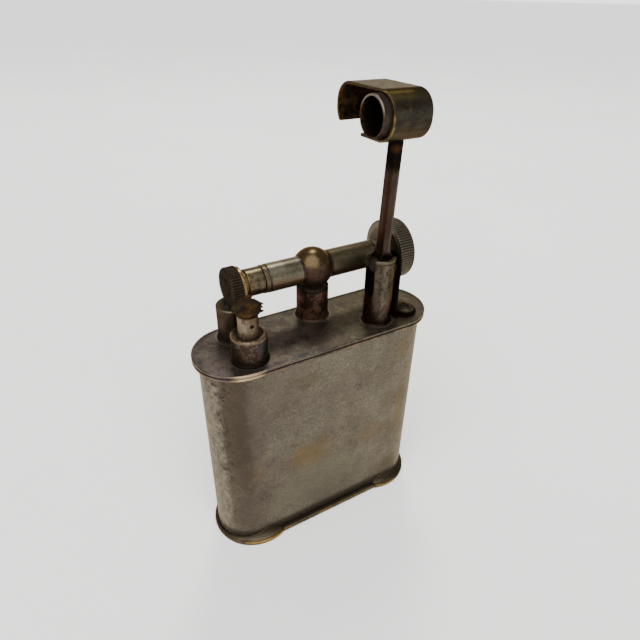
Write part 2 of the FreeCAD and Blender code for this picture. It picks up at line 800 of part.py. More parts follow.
def make_filler_screw():
    """A coin-slot screw with a wide head that closes the tank."""
    piece = new_piece("filler_screw")
    shank = d.filler_thread - d.running_gap
    revolve(piece, [
        (0, d.screw_recess),
        (d.filler_head - 0.15, d.screw_recess, 0.15, 1),
        (d.filler_head, d.screw_recess + 0.15),
        (d.filler_head, d.filler_seat),
        (shank, d.filler_seat),
        (shank, d.filler_bush_top - 0.4),
        (shank - 0.3, d.filler_bush_top - 0.1),
        (0, d.filler_bush_top - 0.1),
    ])
    cut_coin_slot(piece, d.filler_head, d.coin_slot * 1.3, 0, 0.45)
    place(piece, d.filler_x)


# ---------------------------------------------------------------- axle support

def make_support_post():
    """The middle post. A narrow bore in its top holds the ball's neck."""
    piece = new_piece("support_post")
    edge = 0.2
    neck_depth = 1.4
    revolve(piece, [
        (0, d.plate_top - d.tenon_depth),
        (support_tenon(), d.plate_top - d.tenon_depth),
        (support_tenon(), d.plate_top),
        *solder_foot(d.support_radius, d.plate_top),
        (d.support_radius, d.support_top - edge, edge, 1),
        (d.support_radius - edge, d.support_top),
        (d.ball_neck + d.fit_gap, d.support_top),
        (d.ball_neck + d.fit_gap, d.support_top - neck_depth),
        (0, d.support_top - neck_depth),
    ])
    place(piece, d.support_x, d.axle_y)


def make_support_ball():
    """A ball on a short neck, bored through for the axle tube."""
    piece = new_piece("support_ball")
    neck_low = d.support_top - 1.4 + d.fit_gap
    neck_high = d.axle_z - leg(d.ball_radius, d.ball_neck)
    revolve(piece, [
        (0, neck_low),
        (d.ball_neck, neck_low),
        (d.ball_neck, neck_high, d.ball_radius, 1),
        (d.ball_radius, d.axle_z, d.ball_radius, 1),
        (0, d.axle_z + d.ball_radius),
    ])
    bore = disc(0, d.axle_z, d.tube_radius + d.fit_gap)
    reach = d.ball_radius + 1
    pocket(piece, [bore], -reach, reach, "YZ_Plane")
    place(piece, d.support_x, d.axle_y)


def sleeve(label, left, right, inner, outer, edge):
    """A round sleeve on the axle's line, with its outer edges rounded."""
    piece = new_piece(label)
    revolve(piece, [
        (inner, left),
        (outer - edge, left, edge, 1),
        (outer, left + edge),
        (outer, right - edge, edge, 1),
        (outer - edge, right),
        (inner, right),
    ])
    place_on_axle(piece)
    return piece


def make_axle_tube():
    sleeve("axle_tube", d.tube_left, d.tube_right, d.tube_bore, d.tube_radius, 0.1)


def make_axle_bushes():
    bore = d.axle_radius + d.running_gap
    outer = d.tube_bore - d.fit_gap
    left_end = d.tube_left + d.bush_length
    sleeve("axle_bush_left", d.tube_left, left_end, bore, outer, 0.05)
    sleeve("axle_bush_right", d.tube_right - d.bush_length, d.tube_right, bore, outer, 0.05)


def make_axle_washer():
    bore = d.axle_radius + 2 * d.running_gap
    sleeve("axle_washer", d.washer_left, d.tube_left - d.fit_gap, bore, d.washer_radius, 0.12)


# ---------------------------------------------------------------- turning wheel set

def make_axle():
    """A rod riveted over at the spark wheel and threaded for the nut at the thumb wheel."""
    piece = new_piece("axle")
    head = 0.3
    spark = d.spark_left + SPARK_DISH
    revolve(piece, [
        (0, spark - head),
        (d.rivet_radius - head, spark - head, head, 1),
        (d.rivet_radius, spark),
        (d.axle_radius, spark),
        (d.axle_radius, d.nut_right + 0.05),
        (d.axle_radius - 0.2, d.nut_right + 0.2),
        (0, d.nut_right + 0.2),
    ])
    place_on_axle(piece)


SPARK_DISH = 0.25


def cut_teeth(piece, radius, depth, count, left, right):
    """V-shaped grooves all round a wheel."""
    half_width = radius * (0.82 * math.pi) / count
    over = 0.05
    notch = outline([
        (radius - depth, 0),
        (radius + over, -half_width),
        (radius + over, half_width),
    ])
    groove = pocket(piece, [notch], left - 0.1, right + 0.1)
    ring_of(piece, groove, count)


def make_spark_wheel():
    """A hardened toothed wheel, its left edge bevelled and its left face slightly dished."""
    piece = new_piece("spark_wheel")
    bore = d.axle_radius + d.fit_gap
    left = d.spark_left
    right = d.flange_left - d.fit_gap
    revolve(piece, [
        (bore, left + SPARK_DISH),
        (d.spark_radius - 1.35, left + SPARK_DISH),
        (d.spark_radius - 1.1, left),
        (d.spark_radius - d.spark_bevel, left, d.spark_bevel, 1),
        (d.spark_radius, left + d.spark_bevel),
        (d.spark_radius, right - 0.08),
        (d.spark_radius - 0.08, right),
        (bore, right),
    ])
    cut_teeth(piece, d.spark_radius, d.spark_tooth, d.spark_teeth, left + d.spark_bevel * 0.6, right)
    place_on_axle(piece)


def make_spark_wheel_hub():
    """A flange against the spark wheel, a narrow neck, and the collar that the cross pin goes through."""
    piece = new_piece("spark_wheel_hub")
    bore = d.axle_radius + d.fit_gap
    edge = 0.12
    revolve(piece, [
        (bore, d.flange_left),
        (d.flange_radius - edge, d.flange_left, edge, 1),
        (d.flange_radius, d.flange_left + edge),
        (d.flange_radius, d.flange_right - 2 * edge, 2 * edge, 1),
        (d.flange_radius - 2 * edge, d.flange_right),
        (d.hub_neck_radius, d.flange_right),
        (d.hub_neck_radius, d.collar_left),
        (d.collar_radius - edge, d.collar_left, edge, 1),
        (d.collar_radius, d.collar_left + edge),
        (d.collar_radius, d.collar_right - edge, edge, 1),
        (d.collar_radius - edge, d.collar_right),
        (bore, d.collar_right),
    ])
    pin = disc(0, d.hub_pin_x, d.hub_pin_radius + d.fit_gap)
    pocket(piece, [pin], -d.collar_radius - 1, 0, "XZ_Plane")
    place(piece, y=d.axle_y, z=d.axle_z, turn=PIN_TURN)


# The hub is pinned from the front, a little above level.
PIN_RISE = 52
PIN_TURN = FreeCAD.Rotation(FreeCAD.Vector(1, 0, 0), -PIN_RISE) * ALONG_X


def make_hub_pin():
    """A short pin from the collar's surface down to the axle."""
    piece = new_piece("hub_pin")
    pin = disc(0, d.hub_pin_x, d.hub_pin_radius)
    outer = -d.collar_radius - 0.06
    inner = -d.axle_radius - d.fit_gap
    pad(piece, [pin], outer, inner, "XZ_Plane")
    soften(piece, "Fillet", 0.12, lambda edge: all(point.y < outer.value + 1e-4 for point in along(edge)))
    place(piece, y=d.axle_y, z=d.axle_z, turn=PIN_TURN)


def make_thumb_wheel():
    """A wide straight-knurled wheel with both faces dished."""
    piece = new_piece("thumb_wheel")
    bore = d.axle_radius + d.fit_gap
    left = d.thumb_left
    right = d.thumb_right
    bevel = d.thumb_bevel
    revolve(piece, [
        (bore, left + d.dish_depth),
        (d.dish_inner, left + d.dish_depth),
        (d.dish_outer, left),
        (d.thumb_radius - bevel, left, bevel, 1),
        (d.thumb_radius, left + bevel),
        (d.thumb_radius, right - bevel, bevel, 1),
        (d.thumb_radius - bevel, right),
        (d.dish_outer, right),
        (d.dish_inner, right - d.dish_depth),
        (bore, right - d.dish_depth),
    ])
    cut_teeth(piece, d.thumb_radius, d.thumb_tooth, d.thumb_teeth, left, right)
    place_on_axle(piece)


def make_thumb_wheel_hub():
    right = d.thumb_left + d.dish_depth - d.fit_gap
    bore = d.axle_radius + d.fit_gap
    sleeve("thumb_wheel_hub", d.thumb_hub_left, right, bore, d.thumb_hub_radius, 0.15)


def make_axle_nut():
    """A round nut with a screwdriver slot on both sides of the axle's end."""
    left = d.thumb_right - d.dish_depth + d.fit_gap
    bore = d.axle_radius + d.fit_gap
    piece = sleeve("axle_nut", left, d.nut_right, bore, d.nut_radius, 0.2)
    half = 0.3
    slot = box(-half, half, -d.nut_radius - 1, d.nut_radius + 1)
    pocket(piece, [slot], d.nut_right - 0.4, d.nut_right + 1)


# ---------------------------------------------------------------- arm post and spring

def make_arm_post():
    """A bored post with a slot from side to side for the arm, a ring at its top, and the pivot's hole."""
    piece = new_piece("arm_post")
    radius = d.arm_post_radius
    top = d.arm_post_top
    ring = top - d.arm_post_ring
    line = 0.09
    edge = 0.16
    revolve(piece, [
        (0, d.plate_top - d.tenon_depth),
        (arm_tenon(), d.plate_top - d.tenon_depth),
        (arm_tenon(), d.plate_top),
        *solder_foot(radius, d.plate_top),
        (radius, ring - line),
        (radius - line, ring),
        (radius, ring + line),
        (radius, top - edge, edge, 1),
        (radius - edge, top),
        (d.arm_post_bore + 0.1, top),
        (d.arm_post_bore, top - 0.1),
        (d.arm_post_bore, d.arm_post_floor),
        (0, d.arm_post_floor),
    ])
    half = d.arm_slot_width / 2
    reach = radius + 1
    slot = outline([
        (half, d.arm_slot_floor + half),
        (half, top + 1),
        (-half, top + 1),
        (-half, d.arm_slot_floor + half, half, 1),
        (0, d.arm_slot_floor, half, 1),
    ])
    pocket(piece, [slot], -reach, reach, "YZ_Plane")
    pivot = disc(0, d.arm_z, d.pivot_radius + d.fit_gap)
    pocket(piece, [pivot], -reach, reach, "XZ_Plane")
    place(piece, d.arm_x, d.burner_y)


def make_arm_pivot_pin():
    """A plain pin across the arm post, its ends slightly rounded."""
    piece = new_piece("arm_pivot_pin")
    reach = d.arm_post_radius + 0.04
    pad(piece, [disc(0, 0, d.pivot_radius)], -reach, reach, "XZ_Plane")
    soften(piece, "Fillet", 0.14, lambda edge: edge.Curve.TypeId == "Part::GeomCircle")
    place(piece, d.arm_x, d.burner_y, d.arm_z)


def make_leaf_spring():
    """A bent strip: an upright blade beside the arm post and a rounded foot under a screw."""
    piece = new_piece("leaf_spring")
    left = d.leaf_left
    thick = d.leaf_thickness
    low = d.plate_top + d.fit_gap
    inner = d.leaf_bend
    outer = inner + thick
    half_foot = d.foot_width / 2
    end = d.foot_end_x + half_foot
    strip = outline([
        (left + outer, low),
        (end, low),
        (end, low + thick),
        (left + outer, low + thick, inner, -1),
        (left + thick, low + outer),
        (left + thick, d.leaf_top),
        (left, d.leaf_top),
        (left, low + outer, outer, 1),
    ])
    pad(piece, [strip], -half_foot, half_foot, "XZ_Plane")
    half = d.leaf_width / 2
    around = 1
    blade = outline([
        (half, 0),
        (half, d.leaf_top - half, half, 1),
        (0, d.leaf_top, half, 1),
        (-half, d.leaf_top - half),
        (-half, 0),
    ])
    frame = box(-half_foot - around, half_foot + around, -1, d.leaf_top + around)
    pocket(piece, [frame, blade], left - around, left + outer + 0.2, "YZ_Plane")
    shoulder = left + outer + 0.2
    foot = outline([
        (left - 0.5, -half),
        (shoulder, -half),
        (d.foot_end_x - 0.7, -half_foot),
        (d.foot_end_x, -half_foot, half_foot, 1),
        (end, 0, half_foot, 1),
        (d.foot_end_x, half_foot),
        (d.foot_end_x - 0.7, half_foot),
        (shoulder, half),
        (left - 0.5, half),
    ])
    frame = box(left - around, end + around, -half_foot - around, half_foot + around)
    pocket(piece, [frame, foot], low - around, low + thick + 0.1)
    hole = disc(d.leaf_screw_x, 0, d.leaf_screw_shank + d.running_gap)
    pocket(piece, [hole], low - around, low + thick + 0.2)
    place(piece, y=d.burner_y)


def make_leaf_spring_screw():
    """A low domed screw with a straight slot."""
    piece = new_piece("leaf_spring_screw")
    seat = d.plate_top + 2 * d.fit_gap + d.leaf_thickness
    top = seat + d.leaf_screw_rise
    side = 0.35
    dome = d.leaf_screw_head * 2.4
    revolve(piece, [
        (0, d.plate_top - d.tenon_depth - 0.8),
        (d.leaf_screw_shank, d.plate_top - d.tenon_depth - 0.8),
        (d.leaf_screw_shank, seat),
        (d.leaf_screw_head, seat),
        (d.leaf_screw_head, seat + side, dome, 1),
        (0, top),
    ])
    cut_coin_slot(piece, d.leaf_screw_head, size(0.42), top - 0.5, top + 1)
    place(piece, d.leaf_screw_x, d.burner_y)


# ---------------------------------------------------------------- snuffer arm

def make_arm():
    """A flat-sided rod with a cam heel. The cam's two flats meet the leaf spring when raised and when shut."""
    piece = new_piece("arm")
    lean_x = d.arm_top_x - d.arm_x
    height = hood_bottom() - d.arm_z
    half = d.arm_thickness / 2
    rise = 3.0
    foot_x = lean_x * (rise / height.value)
    flat = d.cam_flat
    corner = d.cam_corner
    heel = d.heel_radius
    diagonal = heel * math.sqrt(0.5)
    profile = outline([
        (lean_x + half, height),
        (lean_x - half, height),
        (foot_x - half, rise),
        (-heel * 0.75, heel * 0.6614),
        (-heel, 0, heel, 1),
        (-diagonal, -diagonal),
        (flat - 2 * diagonal, -flat),
        (flat - corner, -flat, corner, 1),
        (flat, corner - flat),
        (flat, 0.3),
        (foot_x + half, rise),
    ])
    width = d.arm_width / 2
    pad(piece, [profile], -width, width, "XZ_Plane")

    def along_rod(edge):
        start, _, end = along(edge)
        return abs(end.z - start.z) > 10

    soften(piece, "Fillet", d.arm_edge.value, along_rod)
    bore = disc(0, 0, d.pivot_radius + d.running_gap)
    pocket(piece, [bore], -width - 1, width + 1, "XZ_Plane")
    place(piece, d.arm_x, d.burner_y, d.arm_z)


def hood_bottom():
    return d.hood_z - d.hood_half


def make_hood_shell():
    """A deep oval cap over the burner and the spark wheel, cut away where the wheel's hub passes."""
    piece = new_piece("hood_shell")
    half = d.hood_half
    wall = d.hood_wall
    outer = rounded_box(d.hood_front, d.hood_back, -half, half, d.hood_corner)
    inner = rounded_box(
        d.hood_front + wall, d.hood_back - wall, -half + wall, half - wall, d.hood_corner - wall
    )
    pad(piece, [outer], d.hood_mouth, d.hood_end, "YZ_Plane")

    def at_closed_end(edge):
        return all(point.x > d.hood_end.value - 1e-4 for point in along(edge))

    soften(piece, "Fillet", 0.45, at_closed_end)
    pocket(piece, [inner], d.hood_mouth, d.hood_end - wall, "YZ_Plane")
    away = box(d.hood_cut_y, d.hood_back + 1, -half - 1, -d.hood_cut_drop)
    pocket(piece, [away], d.hood_mouth - 1, d.hood_mouth + d.hood_cut_depth, "YZ_Plane")
    place(piece, z=d.hood_z)


def make_snuffer_cup():
    """A deep round cup that drops over the wick."""
    piece = new_piece("snuffer_cup")
    lip = d.cup_wall / 2
    back = d.hood_end - d.hood_wall
    inner = d.cup_radius - d.cup_wall
    revolve(piece, [
        (0, back - d.cup_floor),
        (inner, back - d.cup_floor),
        (inner, d.cup_mouth + lip, lip, 1),
        (inner + lip, d.cup_mouth, lip, 1),
        (d.cup_radius, d.cup_mouth + lip),
        (d.cup_radius, back),
        (0, back),
    ])
    place(piece, y=d.burner_y, z=d.hood_z, turn=ALONG_X)


# ---------------------------------------------------------------- build, check, write

def check_document():
    """Every object has to be up to date, and every sub-part a valid solid."""
    for thing in doc.Objects:
        bad = [state for state in thing.State if state in ("Invalid", "Error")]
        if bad:
            raise RuntimeError(f"{thing.Label} is {bad}")
    for piece in pieces:
        shape = piece.Shape
        if shape.isNull() or not shape.isValid() or not shape.Solids:
            raise RuntimeError(f"{piece.Label} has no valid solid")


def write_parts():
    os.makedirs("parts", exist_ok=True)
    for piece in pieces:
        piece.Shape.exportStep(os.path.join("parts", f"{piece.Label}.step"))
        box_size = piece.Shape.BoundBox
        print(f"{piece.Label:20s} {len(piece.Shape.Solids)} solid {piece.Shape.Volume:9.2f} mm3"
              f"  x {box_size.XMin:7.2f} {box_size.XMax:7.2f}  y {box_size.YMin:6.2f} {box_size.YMax:6.2f}"
              f"  z {box_size.ZMin:6.2f} {box_size.ZMax:6.2f}")


make_tank_shell()
make_top_plate()
make_base_plate()
make_cotton_wadding()
make_burner_socket()
make_wick_tube()
make_wick()
make_flint_post()
make_flint_tube()
make_flint()
make_flint_plunger()
make_flint_spring()
make_flint_screw()
make_filler_bush()
make_filler_washer()
make_filler_screw()
make_support_post()
make_support_ball()
make_axle_tube()
make_axle_bushes()
make_axle_washer()
make_axle()
make_spark_wheel()
make_spark_wheel_hub()
make_hub_pin()
make_thumb_wheel()
make_thumb_wheel_hub()
make_axle_nut()
make_arm_post()
make_arm_pivot_pin()
make_leaf_spring()
make_leaf_spring_screw()
make_arm()
make_hood_shell()
make_snuffer_cup()
doc.recompute()
check_document()
write_parts()
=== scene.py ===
import math
import random

import bpy
from mathutils import Matrix, Vector, noise


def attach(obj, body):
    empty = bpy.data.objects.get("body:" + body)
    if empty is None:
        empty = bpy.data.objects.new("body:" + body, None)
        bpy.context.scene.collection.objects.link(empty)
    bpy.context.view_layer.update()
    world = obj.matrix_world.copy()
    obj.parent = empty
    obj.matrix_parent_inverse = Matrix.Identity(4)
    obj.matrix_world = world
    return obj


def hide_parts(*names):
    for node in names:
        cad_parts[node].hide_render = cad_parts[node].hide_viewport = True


# Lift-arm petrol pocket lighter: looks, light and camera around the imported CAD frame.
# The scene is in metres. Patterns and places are given in millimetres of the CAD frame.

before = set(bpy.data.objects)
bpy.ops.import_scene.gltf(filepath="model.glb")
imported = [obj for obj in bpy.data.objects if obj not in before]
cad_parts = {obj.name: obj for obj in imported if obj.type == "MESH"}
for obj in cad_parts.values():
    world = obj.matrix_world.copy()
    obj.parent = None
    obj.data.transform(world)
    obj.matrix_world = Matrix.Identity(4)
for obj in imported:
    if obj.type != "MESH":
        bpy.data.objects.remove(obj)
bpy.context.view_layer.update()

MM = 0.001

# Places on the lighter, in millimetres. x runs along the axle and -y is the front, where the burner is.
TANK_HALF = 14.465
FRONT = -6.17
POST_FOOT = 40.15
AXLE_Y = 3.93
AXLE_Z = 49.07
SUPPORT_X = 1.39
FLINT_X = -13.08
BURNER_X = -13.4
BURNER_Y = -2.93
WICK_TUBE_TOP = 47.95
ARM_X = 10.35
ARM_Y = -2.93
PIVOT_Z = 50.0
ARM_LEAN = 0.0372
HOOD_FRONT = -6.43
HOOD_BACK = 7.95
HOOD_MIDDLE_Z = 73.65
HOOD_HALF = 3.475
HOOD_CORNER = 3.2


# ---- node building

class Look:
    """A material under construction. Its methods add nodes and return their output sockets.

    colour and roughness are what has been laid so far.
    """

    def __init__(self, name, colour=None, roughness=0.5):
        self.colour = colour
        self.roughness = roughness
        self.material = bpy.data.materials.new(name)
        self.material.use_nodes = True
        self.tree = self.material.node_tree
        self.tree.nodes.clear()
        self.output = self.add("ShaderNodeOutputMaterial")
        self.shader = self.add("ShaderNodeBsdfPrincipled")
        self.tree.links.new(self.shader.outputs["BSDF"], self.output.inputs["Surface"])
        place = self.add("ShaderNodeTexCoord")
        self.mm = self.vector("SCALE", place.outputs["Object"], scale=1.0 / MM)
        self.x, self.y, self.z = self.add("ShaderNodeSeparateXYZ", {0: self.mm}).outputs

    def add(self, kind, inputs=None, **settings):
        """A new node. inputs holds what goes into its sockets, by name or number. None is left out."""
        node = self.tree.nodes.new(kind)
        for key, value in settings.items():
            setattr(node, key, value)
        for key, value in (inputs or {}).items():
            if value is not None:
                self.join(value, node.inputs[key])
        return node

    def join(self, value, socket):
        """Links an output socket, or sets a plain value. A colour is in thousandths, red, green, blue."""
        if isinstance(value, bpy.types.NodeSocket):
            self.tree.links.new(value, socket)
        elif isinstance(value, tuple) and socket.type == "RGBA":
            socket.default_value = (*(part / 1000 for part in value), 1.0)
        else:
            socket.default_value = value

    def math(self, operation, a, b=0.0, clamp=False):
        return self.add("ShaderNodeMath", {0: a, 1: b}, operation=operation, use_clamp=clamp).outputs[0]

    def vector(self, operation, a, b=None, scale=None):
        node = self.add("ShaderNodeVectorMath", {0: a, 1: b, "Scale": scale}, operation=operation)
        return node.outputs["Value" if operation in ("LENGTH", "DOT_PRODUCT") else "Vector"]

    def times(self, *values):
        total = values[0]
        for value in values[1:]:
            total = self.math("MULTIPLY", total, value)
        return total

    def plus(self, *values):
        """A sum that is held between 0 and 1."""
        total = values[0]
        for value in values[1:]:
            total = self.math("ADD", total, value, clamp=True)
        return total

    def shift(self, a, b):
        return self.math("ADD", a, b)

    def minus(self, a, b):
        return self.math("SUBTRACT", a, b)

    def size(self, a):
        return self.math("ABSOLUTE", a)

    def length(self, a, b):
        """The length of a step that goes a one way and b at right angles to it."""
        return self.math("SQRT", self.shift(self.times(a, a), self.times(b, b)))

    def from_axle(self):
        return self.length(self.minus(self.y, AXLE_Y), self.minus(self.z, AXLE_Z))

    def ramp(self, value, low, high):
        """0 below low and 1 above high, smooth between. low above high turns it round."""
        start, end = (0.0, 1.0) if low < high else (1.0, 0.0)
        inputs = {"Value": value, "From Min": min(low, high), "From Max": max(low, high),
                  "To Min": start, "To Max": end}
        node = self.add("ShaderNodeMapRange", inputs, interpolation_type="SMOOTHSTEP", clamp=True)
        return node.outputs["Result"]

    def ramp_x(self, low, high):
        return self.ramp(self.x, low, high)

    def ramp_y(self, low, high):
        return self.ramp(self.y, low, high)

    def ramp_z(self, low, high):
        return self.ramp(self.z, low, high)

    def band(self, value, low, high, soft):
        """1 between low and high, fading to 0 over soft on each side."""
        return self.times(self.ramp(value, low - soft, low), self.ramp(value, high + soft, high))

    def stretched(self, stretch):
        if stretch == (1, 1, 1):
            return self.mm
        return self.vector("MULTIPLY", self.mm, Vector(stretch))

    def noise(self, scale, detail=5.0, rough=0.7, stretch=(1, 1, 1), warp=0.0, seed=0):
        """Fractal noise from 0 to 1, its scale in cycles per millimetre."""
        start = Vector((seed * 7.3, seed * 3.1, seed * 5.7))
        inputs = {"Vector": self.vector("ADD", self.stretched(stretch), start), "Scale": scale,
                  "Detail": detail, "Roughness": rough, "Distortion": warp}
        return self.add("ShaderNodeTexNoise", inputs, noise_dimensions="3D").outputs["Fac"]

    def cloud(self, low, high, *settings, **more):
        """Noise turned into patches: see ramp for low and high, and noise for the rest."""
        return self.ramp(self.noise(*settings, **more), low, high)

    def wobble(self, reach, *settings, **more):
        """Noise about 0, to make an edge ragged."""
        return self.times(self.minus(self.noise(*settings, **more), 0.5), reach)

    def specks(self, scale, size, share, seed):
        """Scattered dots: cells of a Voronoi pattern, of which only a share carries a dot."""
        place = self.vector("ADD", self.mm, Vector((seed * 2.7, seed * 9.1, seed * 4.3)))
        cells = self.add("ShaderNodeTexVoronoi", {"Vector": place, "Scale": scale}, feature="F1")
        chance = self.add("ShaderNodeSeparateColor", {0: cells.outputs["Color"]}).outputs
        dot = self.ramp(cells.outputs["Distance"], size, size * 0.35)
        return self.times(dot, self.math("LESS_THAN", chance[0], share), chance[1])

    def scratches(self, stretch, seed, cut):
        """Thin lines along the direction that the stretch leaves long."""
        return self.cloud(cut, cut + 0.06, 1.0, 2.0, 0.6, stretch, warp=0.15, seed=seed)

    def patch(self, centre, radii, ragged, scale, seed, amount=1.0):
        """A ragged blotch round a point, fading out at its radii."""
        away = self.vector("SUBTRACT", self.mm, Vector(centre))
        away = self.vector("DIVIDE", away, Vector(radii))
        distance = self.vector("LENGTH", away)
        wobble = self.wobble(2.0 * ragged, scale, 5.0, 0.65, seed=seed)
        return self.times(self.ramp(self.shift(distance, wobble), 1.15, 0.35), amount)

    def patches(self, *settings):
        """Several patches together, each given by its own settings."""
        return self.plus(*(self.patch(*one) for one in settings))

    def rounded(self, radius):
        """The surface's normal as if its edges were rounded off."""
        return self.add("ShaderNodeBevel", {"Radius": radius * MM}, samples=6).outputs["Normal"]

    def edges(self, radius):
        """1 on convex and concave edges, found from the difference that rounding would make."""
        plain = self.add("ShaderNodeNewGeometry").outputs["Normal"]
        return self.ramp(self.vector("DOT_PRODUCT", self.rounded(radius), plain), 0.995, 0.8)

    def crevice(self, reach):
        """1 deep in corners, 0 in the open."""
        node = self.add("ShaderNodeAmbientOcclusion", {"Distance": reach * MM}, samples=8)
        return self.ramp(node.outputs["AO"], 0.92, 0.3)

    def mix(self, amount, under, over):
        """The over colour laid on the under colour."""
        inputs = {"Factor": amount, 6: under, 7: over}
        return self.add("ShaderNodeMix", inputs, data_type="RGBA", clamp_factor=True).outputs[2]

    def lay(self, over, *amounts):
        """Lays a colour on the surface, as strongly as the product of the amounts."""
        self.colour = self.mix(self.times(*amounts), self.colour, over)

    def shade(self, factor, *amounts):
        """Makes the surface's own colour darker or lighter by a factor."""
        self.lay(self.vector("SCALE", self.colour, scale=factor), *amounts)

    def roughen(self, change, *amounts):
        """Makes the surface rougher, or smoother if the change is below 0."""
        self.roughness = self.shift(self.roughness, self.times(*amounts, change))

    def bump(self, *layers, soften=0.0):
        """Layers of (height socket, depth in millimetres). soften rounds the mesh's sharp edges."""
        normal = self.rounded(soften) if soften else None
        for height, depth in layers:
            inputs = {"Strength": 1.0, "Distance": depth * MM, "Height": height, "Normal": normal}
            normal = self.add("ShaderNodeBump", inputs).outputs["Normal"]
        self.join(normal, self.shader.inputs["Normal"])

    def finish(self, colour, metallic, roughness):
        self.join(colour, self.shader.inputs["Base Color"])
        self.join(metallic, self.shader.inputs["Metallic"])
        self.join(roughness, self.shader.inputs["Roughness"])
        return self.material


# ---- aged metal
# The colours of materials are linear, in thousandths of red, green and blue.

NICKEL = (300, 265, 212)
NICKEL_PALE = (440, 400, 335)
BRASS = (300, 208, 95)
BRASS_BRIGHT = (600, 420, 170)
COPPER = (210, 115, 70)
STEEL_BLACK = (30, 24, 21)
PURPLE = (148, 116, 104)
BLUE_GREY = (60, 68, 78)
OLIVE = (150, 128, 70)
RUST = (105, 34, 18)
RUST_RED = (200, 60, 24)
SOOT = (12, 9, 7)
GRIME_AND_SHADE = (30, 20, 14)
FOOT_GRIME = (22, 14, 10)

CLEAN_SHEEN = (800, 720, 600)
DULL_SHEEN = (400, 330, 260)
POST_SHEEN = (600, 500, 400)
BALL_SHEEN = (500, 400, 300)
HOOD_SHEEN = (420, 340, 210)

METALLIC = 0.9
SMOOTHEST = 0.12
GRAIN_UP = (0.5, 0.5, 9.0)
GRAIN_ROUND = (8.0, 0.5, 0.5)


def tone_clouds(look, tone, toning, clouds, mottle):
    """Cloudy toning in two sizes, and small paler patches."""
    look.lay(tone, look.ramp(clouds, 0.38, 0.66), toning)
    look.lay(tone, look.ramp(mottle, 0.52, 0.78), toning * 0.8)
    look.shade(1.35, look.ramp(mottle, 0.42, 0.24), 0.35)


def speckle_layers(look, speckle, contrast, seed):
    """Darker and lighter speckle, streaks and clouds of the surface's own colour."""
    streaky = look.noise(1.1, 6.0, 0.75, (0.35, 0.35, 2.4), seed=seed + 8)
    cloudy = look.noise(0.3, 6.0, 0.72, warp=0.4, seed=seed + 9)
    look.shade(0.55, look.ramp(speckle, 0.44, 0.7), 0.62 * contrast)
    look.shade(0.62, look.ramp(streaky, 0.46, 0.72), 0.36 * contrast)
    look.shade(0.66, look.ramp(cloudy, 0.42, 0.68), 0.24 * contrast)
    look.shade(1.35, look.ramp(cloudy, 0.5, 0.28), 0.24 * contrast)
    look.shade(1.38, look.ramp(speckle, 0.48, 0.3), 0.4 * contrast)


def scratch_marks(look, grain, seed):
    """Fine scratches along the grain and fewer across it. Returns where they are."""
    lines = look.scratches(grain, seed, 0.62)
    cross = look.scratches((grain[2] * 0.8, grain[0] * 2.0, grain[0] * 1.3), seed + 3, 0.66)
    marks = look.plus(look.times(lines, 0.6), look.times(cross, 0.35))
    look.shade(1.5, marks, 0.35)
    return marks


def worn_edges(look, worn, wear, edge, foot, mottle, speckle):
    """Edges rubbed through to the metal below, but dirty at a post's foot."""
    rubbed = look.times(look.edges(edge), look.ramp(mottle, 0.3, 0.62), wear)
    if foot is not None:
        rubbed = look.times(rubbed, look.ramp_z(foot, foot + 0.5))
        low_dirt = look.ramp_z(foot + 0.9, foot - 0.2)
        look.lay(FOOT_GRIME, low_dirt, look.ramp(speckle, 0.3, 0.55), 0.85)
    look.lay(worn, rubbed)
    look.roughen(-0.14, rubbed)


def pit_holes(look, pits, seed):
    """Small dark pits in two sizes. Returns where they are."""
    large = look.specks(1.6, 0.16, pits * 2.2, seed + 4)
    small = look.specks(3.4, 0.17, pits * 1.6, seed + 5)
    holes = look.plus(large, small)
    look.shade(0.28, holes, 0.75)
    return holes


def corner_dirt_and_shade(look, grime, seed):
    """Dull dark dirt and painted shade in the corners, found by ambient occlusion. Returns where it is.
    """
    dirt = look.times(look.crevice(1.1), look.cloud(0.18, 0.55, 1.1, 4.0, 0.6, seed=seed + 6), grime)
    # Painted shade: corners that ambient occlusion finds are darkened, as dirt and as shade.
    look.lay(GRIME_AND_SHADE, dirt)
    look.roughness = look.math("ADD", look.roughness, look.times(dirt, 0.35), clamp=True)
    return dirt


